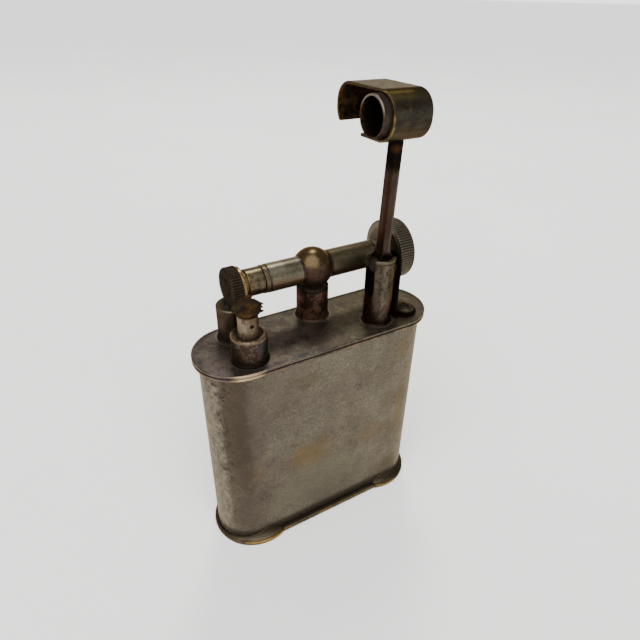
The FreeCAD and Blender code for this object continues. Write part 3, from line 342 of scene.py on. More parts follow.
def aged_metal(name, seed, base, tone, worn, toning=0.5, cloud=0.12, wear=0.5, rough=0.42,
               grain=GRAIN_UP, pits=0.1, grime=0.75, edge=0.12, soften=0.1, contrast=1.0, dent=1.0,
               gain=1.0, blue=0.84, sheen=CLEAN_SHEEN, foot=None, stains=None):
    """Plated metal with cloudy toning, worn edges, fine scratches, pits, and grime with painted shade in
    its corners.

    base, tone and worn are its colours. cloud is the toning's scale in cycles per millimetre.
    contrast deepens the speckle and dent is the depth of the unevenness. gain dims the whole finish,
    and blue warms it when low. sheen tints what it reflects at low angles. foot is a height below
    which a post's edges stay dark. stains(look) lays the piece's own marks on top.
    """
    look = Look(name, base, rough)
    clouds = look.noise(cloud, 7.0, 0.62, warp=0.5, seed=seed)
    mottle = look.noise(cloud * 6, seed=seed + 1)
    fine = look.noise(5.0, 3.0, 0.6, seed=seed + 2)
    speckle = look.noise(2.3, 7.0, 0.78, seed=seed + 7)
    tone_clouds(look, tone, toning, clouds, mottle)
    speckle_layers(look, speckle, contrast, seed)
    marks = scratch_marks(look, grain, seed)
    look.roughen(0.3, look.minus(mottle, 0.5))
    look.roughen(0.16, look.minus(fine, 0.5))
    if stains is not None:
        stains(look)
    worn_edges(look, worn, wear, edge, foot, mottle, speckle)
    holes = pit_holes(look, pits, seed)
    dirt = corner_dirt_and_shade(look, grime, seed)
    broad_dents = 0.009 * dent / cloud
    small_dents = 0.0026 * dent / cloud
    look.bump((clouds, broad_dents), (mottle, small_dents), (fine, 0.005 * dent), (marks, -0.006),
              (holes, -0.05), soften=soften)
    tinted = look.vector("MULTIPLY", look.colour, Vector((gain, gain * 0.99, gain * blue)))
    shine = look.math("SUBTRACT", METALLIC, look.times(dirt, 0.6), clamp=True)
    look.shader.inputs["Specular IOR Level"].default_value = 0.25
    look.join(sheen, look.shader.inputs["Specular Tint"])
    return look.finish(tinted, shine, look.math("MAXIMUM", look.roughness, SMOOTHEST))


# ---- stains of the tank and its plates

TANK_GREEN = (255, 245, 175)
TANK_BROWN = (185, 145, 118)
TANK_DULL = (125, 98, 82)
TANK_END_DARK_REFLECTION = (85, 58, 42)
TANK_PITTED = (40, 40, 42)
TANK_SPOT = (35, 32, 30)
TANK_SOOTY = (60, 50, 45)
TANK_FOOT = (45, 34, 25)
TANK_UNDER_RIM = (60, 45, 32)


def tank_blotches(look):
    """Brass showing through, and purple, olive, green and brown toning. Returns where the brass shows."""
    through = look.patches(
        ((-4.5, FRONT, 17.2), (5.2, 3.0, 3.9), 0.75, 0.35, 0, 0.8),
        ((-14.6, FRONT, 17.8), (1.7, 3.0, 2.2), 0.7, 0.6, 1, 0.35),
        ((9.6, FRONT, 16.3), (5.4, 3.0, 2.6), 0.8, 0.5, 2, 0.36),
        ((15.3, FRONT, 20.0), (1.3, 3.0, 9.0), 0.7, 0.6, 3, 0.5),
        ((14.2, FRONT, 34.5), (1.6, 3.0, 2.2), 0.7, 0.6, 4, 0.55),
        ((3.0, -FRONT, 24.0), (4.2, 3.0, 3.4), 0.6, 0.5, 5, 0.6),
    )
    olive = look.patches(
        ((14.6, FRONT, 5.2), (2.2, 3.0, 3.4), 0.6, 0.6, 6),
        ((-5.0, FRONT, 34.4), (3.4, 3.0, 1.7), 0.7, 0.6, 7, 0.6),
        ((3.2, FRONT, 32.6), (2.4, 3.0, 2.2), 0.7, 0.6, 8, 0.45),
    )
    purple = look.patches(
        ((-15.5, -6.0, 9.0), (5.5, 4.0, 8.0), 0.7, 0.4, 9, 0.35),
        ((-15.5, -6.0, 27.0), (3.5, 4.0, 15.0), 0.7, 0.4, 10, 0.55),
        ((-3.0, FRONT, 6.5), (5.5, 3.0, 3.0), 0.7, 0.5, 11, 0.4),
    )
    look.lay(PURPLE, purple)
    look.lay(BRASS, through, 0.8)
    look.lay(OLIVE, olive, 0.7)
    look.lay(TANK_GREEN, look.patch((-1.0, FRONT, 9.5), (11.0, 3.0, 5.5), 0.8, 0.25, 21), 0.45)
    look.lay(TANK_BROWN, look.patch((-10.0, FRONT, 35.0), (7.0, 3.0, 6.0), 0.9, 0.25, 22), 0.3)
    return through


def tank_end(look):
    """The left end: a brown band that is a painted dark reflection, then pale flaking nickel, partly a
    painted reflection, with corrosion. Returns its spots.
    """
    ragged = look.wobble(5.0, 0.35, 6.0, 0.7, seed=61)
    # Painted dark reflection: a brown band down the front of the left end's curve.
    dark_reflection_band = look.band(look.shift(look.x, ragged), -18.6, -16.6, 2.2)
    darker_above = look.shift(look.times(look.ramp_z(8.0, 22.0), 0.36), 0.28)
    look.lay(TANK_END_DARK_REFLECTION, dark_reflection_band, look.ramp_y(0.0, -3.0), darker_above)
    # Pale flaking nickel on the front of the end, partly a painted reflection of the bright floor.
    end = look.times(look.ramp_x(-18.9, -19.7), look.ramp_y(1.0, -1.0))
    flakes = look.cloud(0.42, 0.58, 1.1, 6.0, 0.75, (1, 1, 0.7), warp=0.5, seed=12)
    look.lay(NICKEL_PALE, end, flakes, 0.8)
    corroded = look.times(look.cloud(0.52, 0.6, 0.8, 6.0, 0.8, warp=0.6, seed=14),
                          look.band(look.x, -20.2, -18.6, 0.5), look.ramp_z(12.0, 20.0))
    look.lay(TANK_PITTED, corroded, look.ramp_y(2.0, 0.0), 0.75)
    spots = look.times(look.specks(1.5, 0.3, 0.6, 13), look.band(look.x, -20.7, -18.3, 0.8))
    look.lay(TANK_SPOT, spots, 0.9)
    return spots


def tank_stains(look):
    """The tank: its blotches, its left end with painted reflections, dull clouds, sooty marks and dark
    upper and lower borders.
    """
    through = tank_blotches(look)
    spots = tank_end(look)
    look.lay(TANK_DULL, look.cloud(0.52, 0.66, 0.22, 6.0, 0.7, warp=0.8, seed=15), 0.35)
    sooty = look.patches(
        ((3.3, FRONT, 25.6), (1.1, 2.0, 1.0), 0.9, 1.2, 16),
        ((-5.5, FRONT, 33.3), (0.9, 2.0, 0.9), 0.9, 1.2, 17),
        ((5.0, FRONT, 29.1), (1.3, 2.0, 0.9), 0.9, 1.2, 18),
        ((-14.0, FRONT, 11.4), (2.4, 3.0, 2.0), 0.9, 0.8, 19),
    )
    look.lay(TANK_SOOTY, sooty, look.cloud(0.42, 0.62, 1.9, 6.0, 0.8, seed=20), 0.75)
    look.lay(TANK_FOOT, look.ramp_z(3.4, 2.2), 0.75)
    look.lay(TANK_UNDER_RIM, look.ramp_z(38.0, 39.0), 0.45)
    look.roughen(0.12, look.plus(through, spots))


def oval_radius(look):
    """Distance from the tank's middle line, as the plates' plan oval measures it."""
    beyond = look.math("MAXIMUM", look.minus(look.size(look.x), TANK_HALF), 0.0)
    return look.length(beyond, look.y)


PLATE_PURPLE = (175, 138, 130)
PLATE_OLIVE = (140, 120, 66)
PLATE_GREEN = (205, 190, 130)
PLATE_VIOLET = (78, 60, 68)
PLATE_STAIN = (42, 28, 32)
PLATE_SPOT = (15, 12, 12)
PLATE_SHADOW = (50, 40, 32)
RIM_DIRT = (45, 34, 30)
RIM_TOP = (300, 235, 165)
RIM_COPPER = (280, 165, 85)
RIM_GROOVE = (20, 14, 11)
RIM_GLINT = (660, 490, 280)


def plate_toning(look, radius):
    """A dark blue ring inside the rim, and purple, olive, green and violet toning."""
    ragged = look.wobble(1.1, 0.5, 4.0, 0.6, seed=20)
    ring = look.band(look.shift(radius, ragged), 6.05, 6.6, 0.35)
    look.lay(BLUE_GREY, ring, look.cloud(0.4, 0.58, 0.12, 3.0, 0.6, seed=25), 0.8)
    left = look.ramp_x(-8.0, -15.0)
    look.lay(PLATE_PURPLE, left, look.cloud(0.38, 0.6, 0.3, seed=27), 0.7)
    look.lay(PLATE_OLIVE, look.ramp_x(-6.0, 9.0), 0.6)
    look.lay(PLATE_GREEN, look.cloud(0.5, 0.6, 0.45, 6.0, 0.75, warp=0.4, seed=35), 0.65)
    look.lay(PLATE_VIOLET, look.cloud(0.52, 0.62, 0.6, 6.0, 0.75, warp=0.4, seed=36), 0.75)


def plate_blots(look):
    """Dark stains between the posts, and a pale line and a shadow round each post's foot."""
    stain = look.patches(
        ((-5.0, -2.2, 40.0), (3.2, 1.6, 2.0), 0.8, 0.9, 21, 0.75),
        ((1.2, -0.6, 40.0), (2.6, 1.4, 2.0), 0.8, 0.9, 22, 0.7),
        ((-17.5, 2.5, 40.0), (3.0, 3.0, 2.0), 0.7, 0.6, 23, 0.5),
    )
    stain = look.times(stain, look.cloud(0.43, 0.54, 1.3, 6.0, 0.8, seed=33))
    look.lay(PLATE_STAIN, stain)
    look.lay(PLATE_SPOT, look.specks(1.3, 0.3, 0.5, 24), stain)
    for x, y, foot_radius in ((SUPPORT_X, AXLE_Y, 3.05), (ARM_X, ARM_Y, 2.75), (FLINT_X, AXLE_Y, 3.05)):
        distance = look.length(look.minus(look.x, x), look.minus(look.y, y))
        look.lay(NICKEL, look.band(distance, foot_radius, foot_radius + 0.18, 0.16), 0.3)
        look.lay(PLATE_SHADOW, look.band(distance, foot_radius + 0.5, foot_radius + 1.1, 0.5), 0.18)


def plate_rim(look, radius):
    """The rolled rim: dirt, a pale top line, a coppery lower line, a black groove and a glint."""
    on_rim = look.ramp(radius, 6.7, 6.85)
    top_line = look.times(look.ramp(radius, 6.8, 6.93), look.ramp_z(39.8, 39.95))
    low_line = look.times(look.ramp(radius, 6.9, 7.02), look.band(look.z, 39.05, 39.36, 0.05))
    worn_off = look.cloud(0.42, 0.6, 0.35, seed=26)
    look.lay(RIM_DIRT, on_rim, look.cloud(0.62, 0.44, 0.3, seed=62), 0.55)
    look.lay(RIM_TOP, top_line, worn_off, 0.3)
    look.lay(RIM_COPPER, low_line, worn_off, 0.62)
    look.lay(RIM_GROOVE, on_rim, look.band(look.z, 39.46, 39.66, 0.06), 0.9)
    glint = look.patch((-15.2, -6.9, 39.6), (2.6, 3.0, 2.0), 0.5, 0.6, 28)
    glint = look.times(look.ramp(radius, 6.85, 6.95), glint)
    look.lay(RIM_GLINT, glint, 0.75)
    look.roughen(-0.1, look.plus(top_line, low_line, glint))


def plate_stains(look):
    """The top plate: its toning, its stains by the posts and its rim."""
    radius = oval_radius(look)
    plate_toning(look, radius)
    plate_blots(look)
    plate_rim(look, radius)


BASE_BRASS = (520, 325, 85)
BEAD_PALE = (320, 235, 185)
SEAM_BLACK = (20, 15, 12)
COVE_DARK = (40, 34, 30)
UNDERSIDE = (260, 225, 180)
SCUFF_BRASS = (420, 330, 200)


def base_stains(look):
    """The base: a bright brass lower edge with a painted highlight at its front left, dark coves and
    seams, and a scuffed underside.
    """
    radius = oval_radius(look)
    from_middle = look.size(look.x)
    # Where the lower edge is rubbed to brass; the patch at the front left is also a painted highlight.
    rubbed = look.plus(
        look.patch((-13.4, -7.0, 0.4), (4.6, 3.0, 2.0), 0.7, 0.5, 29),
        look.patch((13.0, -7.0, 0.4), (3.0, 3.0, 2.0), 0.8, 0.6, 30, 0.6),
        look.patch((17.0, 5.0, 0.4), (4.0, 3.0, 2.0), 0.8, 0.6, 31, 0.6),
        look.times(look.cloud(0.46, 0.62, 0.35, seed=32), 0.45),
    )
    bright_edge_and_highlight = look.times(look.ramp_z(0.95, 0.6), rubbed)
    look.lay(BASE_BRASS, bright_edge_and_highlight, 0.95)
    look.lay(BEAD_PALE, look.ramp_z(0.92, 1.05), look.band(look.x, -10.4, 10.4, 0.2), 0.75)
    look.lay(SEAM_BLACK, look.ramp(radius, 6.55, 6.25), look.ramp_z(0.7, 0.9), 0.9)
    look.lay(COVE_DARK, look.band(look.z, 1.05, 2.3, 0.15), look.ramp(from_middle, 10.4, 10.8), 0.6)
    joint = look.band(from_middle, 10.5, 10.8, 0.12)
    look.lay(SEAM_BLACK, joint, look.ramp_z(0.1, 0.6), 0.8)
    under = look.ramp_z(0.06, 0.02)
    look.lay(UNDERSIDE, under, look.cloud(0.36, 0.6, 0.5, 6.0, 0.75, warp=0.4, seed=33), 0.6)
    look.lay(SCUFF_BRASS, under, look.scratches((0.6, 7.0, 1.0), 34, 0.58), 0.6)
    look.roughen(0.14, under)
    look.roughen(-0.16, bright_edge_and_highlight)


# ---- stains of the posts and the burner

SCALE_BLACK = (18, 12, 9)
SADDLE_PALE = (300, 262, 185)
FLINT_POST_PALE = (220, 190, 135)


def rust(look, amount, seed):
    """Brown rust with redder specks in it."""
    cover = look.times(look.cloud(0.5, 0.68, 0.9, 6.0, 0.7, warp=0.6, seed=seed), amount)
    look.lay(RUST, cover)
    look.lay(RUST_RED, look.specks(1.4, 0.3, 0.5, seed + 1), cover)
    look.roughen(0.25, cover)


def pivot_pin_stains(look):
    rust(look, 0.6, 52)


def leaf_screw_stains(look):
    rust(look, 0.25, 53)


def support_post_stains(look):
    """Rust and black scale on the support post, with painted shade making its neck under the ball
    blackest.
    """
    rust(look, 0.9, 51)
    look.lay(SCALE_BLACK, look.cloud(0.48, 0.55, 0.6, 6.0, 0.75, warp=0.5, seed=54), 0.88)
    # Painted shade: the neck under the ball is laid near black.
    look.lay(SOOT, look.ramp_z(45.2, 45.6), 0.85)


def flint_post_stains(look):
    """Rust on the flint post, paler on its top and on its left."""
    rust(look, 0.4, 50)
    look.lay(SADDLE_PALE, look.ramp_z(45.85, 46.05), look.ramp_x(-13.6, -14.4), 0.75)
    left = look.ramp_x(-14.8, -15.6)
    look.lay(FLINT_POST_PALE, left, look.cloud(0.36, 0.56, 0.7, seed=64), 0.55)


def across_post(look, x, y):
    """Distance from a vertical line, measured across the view from the front left, along which painted
    light and shade are laid: above 0 to its right and front, below 0 to its left and back.
    """
    along_x = look.times(look.minus(look.x, x), 0.865)
    along_y = look.times(look.minus(look.y, y), 0.501)
    return look.minus(along_x, along_y)


POST_LEFT_SHADE = (34, 22, 16)
POST_RIGHT_EDGE_SHADE = (45, 30, 22)
POST_HIGHLIGHT = (400, 320, 250)
POST_STAIN = (50, 36, 28)
POST_CHIP = (260, 190, 110)
POST_LOW = (85, 45, 26)
POST_FOOT_RUST = (75, 30, 18)
POST_LEFT_RUST = (200, 92, 50)
PALE_CHEEK = (260, 235, 175)
POST_CROWN = (360, 305, 225)
POST_LINE = (160, 70, 30)
POST_SCUFF = (45, 36, 32)
POST_NICK = (12, 10, 10)


def arm_post_stains(look):
    """The arm post: painted shade on its left side and right edge, with rust and chips on the left, a
    painted highlight stripe, painted light at the top of its back cheek, a pale crown, scuffs in front.
    """
    across = look.shift(across_post(look, ARM_X, ARM_Y), look.wobble(1.6, 0.8, seed=48))
    left = look.ramp(across, -0.9, -1.7)
    # Painted shade down the post's left side.
    look.lay(POST_LEFT_SHADE, left, 0.88)
    # Painted shade at the post's right edge.
    look.lay(POST_RIGHT_EDGE_SHADE, look.ramp(across, 1.7, 2.2), 0.7)
    # Painted highlight: a pale stripe right of the post's middle.
    look.lay(POST_HIGHLIGHT, look.band(across, 0.45, 0.95, 0.4), 0.7)
    look.lay(POST_STAIN, look.cloud(0.52, 0.6, 0.7, 6.0, 0.75, (1, 1, 0.6), warp=0.5, seed=50), 0.65)
    chips = look.cloud(0.56, 0.62, 1.5, 5.0, 0.75, seed=49)
    look.lay(POST_CHIP, chips, left, look.ramp_z(46.5, 50.0), 0.8)
    look.lay(POST_LOW, look.ramp_z(44.5, 42.0), 0.55)
    look.lay(POST_FOOT_RUST, look.ramp_z(42.2, 40.2), look.noise(1.2, 4.0, 0.6, seed=40), 1.2)
    rusty = look.times(look.ramp_z(46.6, 45.0), look.cloud(0.34, 0.56, 0.8, seed=65))
    look.lay(POST_LEFT_RUST, left, rusty, 0.8)
    # Painted highlight on the top of the back cheek's left edge.
    cheek = look.times(look.ramp_z(48.6, 50.0), look.cloud(0.36, 0.52, 0.9, seed=66))
    look.lay(PALE_CHEEK, left, cheek, 0.75)
    crown = look.ramp_z(51.42, 51.6)
    look.lay(POST_CROWN, crown, look.cloud(0.32, 0.5, 0.9, seed=63), 0.7)
    look.lay(POST_LINE, look.band(look.z, 51.32, 51.44, 0.07), 0.8)
    look.lay(POST_SCUFF, look.patch((10.8, -5.3, 47.6), (0.9, 1.6, 1.1), 0.8, 1.6, 41), 0.55)
    look.lay(POST_NICK, look.patch((11.2, -5.2, 41.9), (0.35, 1.0, 0.6), 0.4, 2.0, 42), 0.9)


SOCKET_LEFT = (95, 55, 34)
SOCKET_DARK = (62, 36, 24)
SOCKET_PALE = (270, 225, 180)
SOCKET_SHOULDER_WEAR_AND_HIGHLIGHT = (320, 235, 145)
SOCKET_SPOT = (12, 11, 11)
SOCKET_FOOT = (40, 24, 17)


def socket_stains(look):
    """The burner socket: dark and pale mottling, a brighter shoulder that is worn and carries a painted
    highlight, a blue-grey stain, a dark foot.
    """
    look.lay(SOCKET_LEFT, look.ramp_x(-14.6, -15.6), 0.6)
    mottled = look.cloud(0.47, 0.53, 0.65, 6.0, 0.75, warp=0.5, seed=55)
    look.lay(SOCKET_DARK, mottled, 0.8)
    look.roughen(0.16, mottled)
    look.lay(SOCKET_PALE, look.cloud(0.54, 0.61, 1.5, 6.0, 0.78, seed=56), 0.55)
    shoulder = look.ramp_z(44.05, 44.3)
    # Painted highlight on the rounded shoulder, over worn brass.
    look.lay(SOCKET_SHOULDER_WEAR_AND_HIGHLIGHT, shoulder, look.cloud(0.3, 0.56, 0.5, seed=34), 0.7)
    stain = look.patch((-12.1, -5.3, 42.9), (1.5, 1.8, 1.5), 0.8, 1.1, 43)
    look.lay(BLUE_GREY, stain, 0.75)
    look.lay(SOCKET_SPOT, look.specks(2.2, 0.3, 0.6, 57), stain)
    look.lay(SOCKET_FOOT, look.ramp_z(42.2, 40.1), 0.7)


SCORCH_BROWN = (50, 26, 14)
WICK_TUBE_STREAK = (210, 125, 78)
WICK_TUBE_BROWN = (225, 135, 88)
WICK_TUBE_HIGHLIGHT = (640, 500, 420)


def wick_tube_stains(look):
    """The wick tube: a painted highlight on its left, browner on its right, scorched at its top."""
    scorched = look.ramp(look.shift(look.z, look.noise(1.3, 4.0, 0.6, seed=44)), 48.0, 48.5)
    look.lay(SCORCH_BROWN, scorched, 0.8)
    streak = look.cloud(0.48, 0.6, 0.9, 4.0, 0.6, (1, 1, 0.35), seed=45)
    look.lay(WICK_TUBE_STREAK, streak, 0.65)
    ragged = look.times(look.minus(streak, 0.3), 0.9)
    across = look.shift(across_post(look, BURNER_X, BURNER_Y), ragged)
    look.lay(WICK_TUBE_BROWN, look.ramp(across, -0.5, 1.3), 0.7)
    # Painted highlight: a pale band down the tube's left side.
    look.lay(WICK_TUBE_HIGHLIGHT, look.band(across, -1.0, -0.7, 0.7), 0.45)


LEAF_FOOT = (55, 35, 24)


def leaf_stains(look):
    """The leaf spring: browner on its foot."""
    look.lay(LEAF_FOOT, look.ramp_z(41.2, 40.4), 0.6)


# ---- stains of the axle and the wheels

TUBE_BROWN = (140, 94, 48)
TUBE_SEAM = (28, 20, 15)
GROOVE_DIRT = (30, 22, 16)
BALL_LOW = (72, 45, 34)
BALL_CAP = (205, 142, 72)
TEETH_RED = (95, 42, 24)
WHEEL_FACE = (44, 36, 31)
AXLE_END = (16, 11, 8)
DISH_BROWN = (95, 52, 34)
COLLAR_GREY = (125, 108, 78)
COLLAR_BLOTCH = (34, 26, 18)
COLLAR_RIGHT = (60, 46, 34)
FLANGE_GOLD = (300, 200, 105)


def tube_stains(look):
    """Grey-green nickel above, with a painted highlight along the top near its left end, copper-brown
    below, dark where it enters the ball and at its ends.
    """
    height = look.shift(look.z, look.wobble(3.0, 0.35, 5.0, 0.65, seed=30))
    look.lay(COPPER, look.ramp(height, AXLE_Z + 0.9, AXLE_Z - 0.9), 0.85)
    top = look.ramp_z(AXLE_Z + 1.4, AXLE_Z + 2.2)
    # Painted highlight: a pale strip along the top near the tube's left end.
    look.lay(NICKEL_PALE, look.band(look.x, -6.9, -4.6, 0.5), top, 0.5)
    look.lay(TUBE_BROWN, look.ramp_x(2.0, 4.5), 0.5)
    from_ball = look.size(look.minus(look.x, SUPPORT_X))
    look.lay(TUBE_SEAM, look.band(from_ball, 2.2, 2.75, 0.25), 0.75)
    ends = look.plus(look.ramp_x(-6.85, -7.15), look.ramp_x(12.6, 13.0))
    look.lay(GROOVE_DIRT, ends, 0.6)


def ball_stains(look):
    """A polished olive-gold cap over a browner lower half, with painted shade on a belt across the
    middle.
    """
    low = look.ramp_z(AXLE_Z + 0.6, AXLE_Z - 1.4)
    look.lay(BALL_LOW, low, look.noise(0.8, seed=36), 1.3)
    look.shade(0.4, look.cloud(0.5, 0.6, 1.6, 6.0, 0.78, seed=59), 0.55)
    height = look.shift(look.z, look.wobble(1.6, 0.4, 5.0, 0.6, seed=31))
    cap = look.ramp(height, AXLE_Z + 0.9, AXLE_Z + 1.7)
    look.lay(BALL_CAP, cap, 0.85)
    # Painted shade on a belt below the top, dimming the soft front light's reflection there.
    look.shade(0.5, look.band(height, AXLE_Z + 0.4, AXLE_Z + 2.1, 0.9), 0.55)
    look.roughen(-0.14, cap)
    look.roughness = look.shift(look.roughness, 0.06)


def wheel_stains(look):
    """The spark wheel: reddish rust in the teeth, a smoother dark bevel."""
    teeth = look.ramp_x(-13.8, -13.4)
    look.lay(TEETH_RED, teeth, look.cloud(0.42, 0.66, 1.6, seed=46), 0.45)
    face = look.ramp(look.from_axle(), 2.9, 2.75)
    look.lay(WHEEL_FACE, face, 0.8)
    look.roughen(0.12, face)
    look.roughen(0.12, teeth)


def axle_stains(look):
    """The axle: its riveted end is laid nearly black."""
    end = look.ramp_x(-12.4, -13.0)
    look.lay(AXLE_END, end, 0.95)
    look.roughen(0.22, end)


def thumb_stains(look):
    """The thumb wheel: brown in its dished face and dirt in the knurl's grooves."""
    radius = look.from_axle()
    look.lay(DISH_BROWN, look.ramp(radius, 4.35, 4.05), 0.7)
    look.lay(GROOVE_DIRT, look.ramp(radius, 5.3, 5.2), look.ramp(radius, 5.05, 5.15), 0.8)


def hub_stains(look):
    """The spark wheel's hub: golden flange, greyer blotched collar."""
    collar = look.ramp_x(-11.0, -10.6)
    look.lay(COLLAR_GREY, collar, 0.8)
    look.lay(COLLAR_BLOTCH, look.cloud(0.46, 0.6, 0.55, seed=47), collar, 0.7)
    look.lay(FLANGE_GOLD, look.ramp_x(-11.4, -11.6), 0.6)
    look.lay(COLLAR_RIGHT, look.ramp_x(-8.7, -8.3), 0.6)


# ---- stains of the arm, hood and cup

ARM_STREAK = (75, 26, 16)
ARM_HIGHLIGHT = (300, 250, 200)
ARM_SPOT = (160, 70, 22)
ARM_LOW = (55, 26, 18)


def arm_stains(look):
    """Streaks along the rod, a painted highlight down its right side, soot under the hood, a dark root
    and a paler heel.
    """
    across = look.shift(look.minus(look.y, ARM_Y), look.wobble(0.9, 0.6, 4.0, 0.6, (1, 1, 0.15), seed=32))
    look.lay(ARM_STREAK, look.band(across, -0.75, -0.25, 0.3), 0.75)
    lean = look.times(look.minus(look.z, PIVOT_Z), ARM_LEAN)
    side = look.minus(look.minus(look.x, ARM_X), lean)
    # Painted highlight: a pale band down the rod's right side.
    look.lay(ARM_HIGHLIGHT, look.band(side, 0.3, 0.85, 0.2), 0.55)
    ragged = look.times(look.noise(0.8, 4.0, 0.6, seed=33), 2.0)
    soot = look.ramp(look.shift(look.z, ragged), 66.2, 67.6)
    look.lay(SOOT, soot, 0.93)
    look.lay(ARM_SPOT, look.patch((10.5, -4.1, 69.1), (1.3, 1.4, 0.7), 0.5, 1.2, 34), 0.7)
    look.lay(ARM_LOW, look.ramp_z(54.5, 51.0), 0.6)
    look.lay(SOOT, look.band(look.z, 52.1, 52.6, 0.7), 0.88)
    heel = look.band(look.z, 49.6, 51.4, 0.5)
    look.lay(PALE_CHEEK, heel, look.cloud(0.34, 0.5, 0.9, seed=68), 0.75)
    look.roughen(0.35, soot)


HOOD_DARK = (37, 28, 24)
HOOD_BLUE = (66, 66, 70)
HOOD_LOW_SHEEN = (190, 170, 140)
HOOD_TOP = (85, 70, 52)
HOOD_TOP_PALE = (128, 108, 78)
HOOD_GLOW = (330, 250, 120)
HOOD_EDGE_WEAR_AND_HIGHLIGHT = (800, 580, 240)
HOOD_MOUTH = (480, 340, 140)
HOOD_SOOT = (26, 18, 12)
HOOD_INSIDE = (190, 95, 46)


def inside_hood(look):
    """1 on the hood's inner surfaces, from their distance to the middle of its rounded section."""
    flat_y = (HOOD_BACK - HOOD_FRONT) / 2 - HOOD_CORNER
    flat_z = HOOD_HALF - HOOD_CORNER
    off_y = look.size(look.minus(look.y, (HOOD_BACK + HOOD_FRONT) / 2))
    off_z = look.size(look.minus(look.z, HOOD_MIDDLE_Z))
    beyond_y = look.math("MAXIMUM", look.minus(off_y, flat_y), 0.0)
    beyond_z = look.math("MAXIMUM", look.minus(off_z, flat_z), 0.0)
    walls = look.ramp(look.length(beyond_y, beyond_z), 3.02, 2.86)
    return look.times(walls, look.ramp_x(14.4, 14.2))


def hood_front(look):
    """The hood's front: dark and bluish toning, an olive spot and a painted sheen on its low edge."""
    front = look.times(look.ramp_y(-5.4, -6.2), look.band(look.z, 71.6, 75.6, 0.8))
    look.lay(HOOD_DARK, front, look.cloud(0.22, 0.62, 0.35, 5.0, 0.65, (1, 1, 2.0), seed=35), 0.85)
    bluish = look.cloud(0.48, 0.58, 0.55, 6.0, 0.75, (1, 1, 1.6), warp=0.4, seed=67)
    look.lay(HOOD_BLUE, front, bluish, 0.6)
    look.lay(OLIVE, look.patch((9.8, HOOD_FRONT, 72.6), (1.1, 2.0, 0.9), 0.6, 0.9, 36), 0.35)
    # Painted sheen: a pale band along the front's low edge.
    look.lay(HOOD_LOW_SHEEN, look.band(look.z, 70.9, 71.7, 0.4), look.ramp_y(-3.5, -5.0), 0.45)


def hood_top(look):
    """The hood's top: cloudy, with a bright line along its front edge, rubbed brass with a painted
    highlight on it, and a wider painted glow just below. Returns the line.
    """
    ragged = look.times(look.noise(0.5, 4.0, 0.6, seed=38), 3.0)
    fade = look.ramp(look.shift(look.x, ragged), 14.5, 12.0)
    line = look.times(look.band(look.z, 76.76, 76.88, 0.09), look.ramp_y(-3.0, -3.8), fade)
    cloudy = look.cloud(0.38, 0.64, 0.3, 6.0, 0.7, warp=0.5, seed=58)
    look.lay(look.mix(cloudy, HOOD_TOP_PALE, HOOD_TOP), look.ramp_z(76.7, 77.0), 0.9)
    # Painted highlight: a wider glow just below the front edge.
    look.lay(HOOD_GLOW, look.band(look.z, 76.25, 76.85, 0.3), look.ramp_y(-3.4, -4.4), fade, 0.55)
    # Rubbed brass with a painted highlight along the rounded front edge.
    look.lay(HOOD_EDGE_WEAR_AND_HIGHLIGHT, line, 0.85)
    return line


def hood_stains(look):
    """The hood: its front, its top, bright brass at the mouth and soot inside."""
    hood_front(look)
    line = hood_top(look)
    mouth = look.times(look.ramp_x(8.15, 7.85), look.ramp_y(-2.0, -4.0))
    look.lay(HOOD_MOUTH, mouth, look.cloud(0.4, 0.62, 0.6, 4.0, 0.7, seed=33), 0.85)
    inside = inside_hood(look)
    sooty = look.cloud(0.4, 0.6, 0.5, 6.0, 0.7, warp=0.6, seed=37)
    look.lay(look.mix(sooty, HOOD_SOOT, HOOD_INSIDE), inside)
    look.roughen(0.3, inside)
    look.roughen(-0.12, line)


CUP_CRUST = (75, 38, 18)
CUP_LIP_HIGHLIGHT = (340, 300, 250)


def cup_stains(look):
    """The snuffer cup: black inside, a crusty rim and a painted highlight on the upper half of its lip.
    """
    radius = look.length(look.minus(look.y, ARM_Y), look.minus(look.z, HOOD_MIDDLE_Z))
    inside = look.ramp(radius, 2.76, 2.62)
    look.lay(SOOT, inside, 0.97)
    look.lay(CUP_CRUST, look.cloud(0.44, 0.56, 1.3, 5.0, 0.75, seed=39), look.ramp_x(7.3, 6.7), 0.85)
    lip = look.times(look.ramp_x(6.75, 6.5), look.ramp(radius, 2.6, 2.72))
    # Painted highlight on the upper half of the lip.
    look.lay(CUP_LIP_HIGHLIGHT, lip, look.ramp_z(74.0, 75.8), 0.7)
    look.roughen(0.3, inside)


# ---- settings of the metal nodes

PLAIN_BRASS = dict(base=(340, 235, 105), tone=(150, 100, 55), worn=BRASS_BRIGHT, rough=0.36)

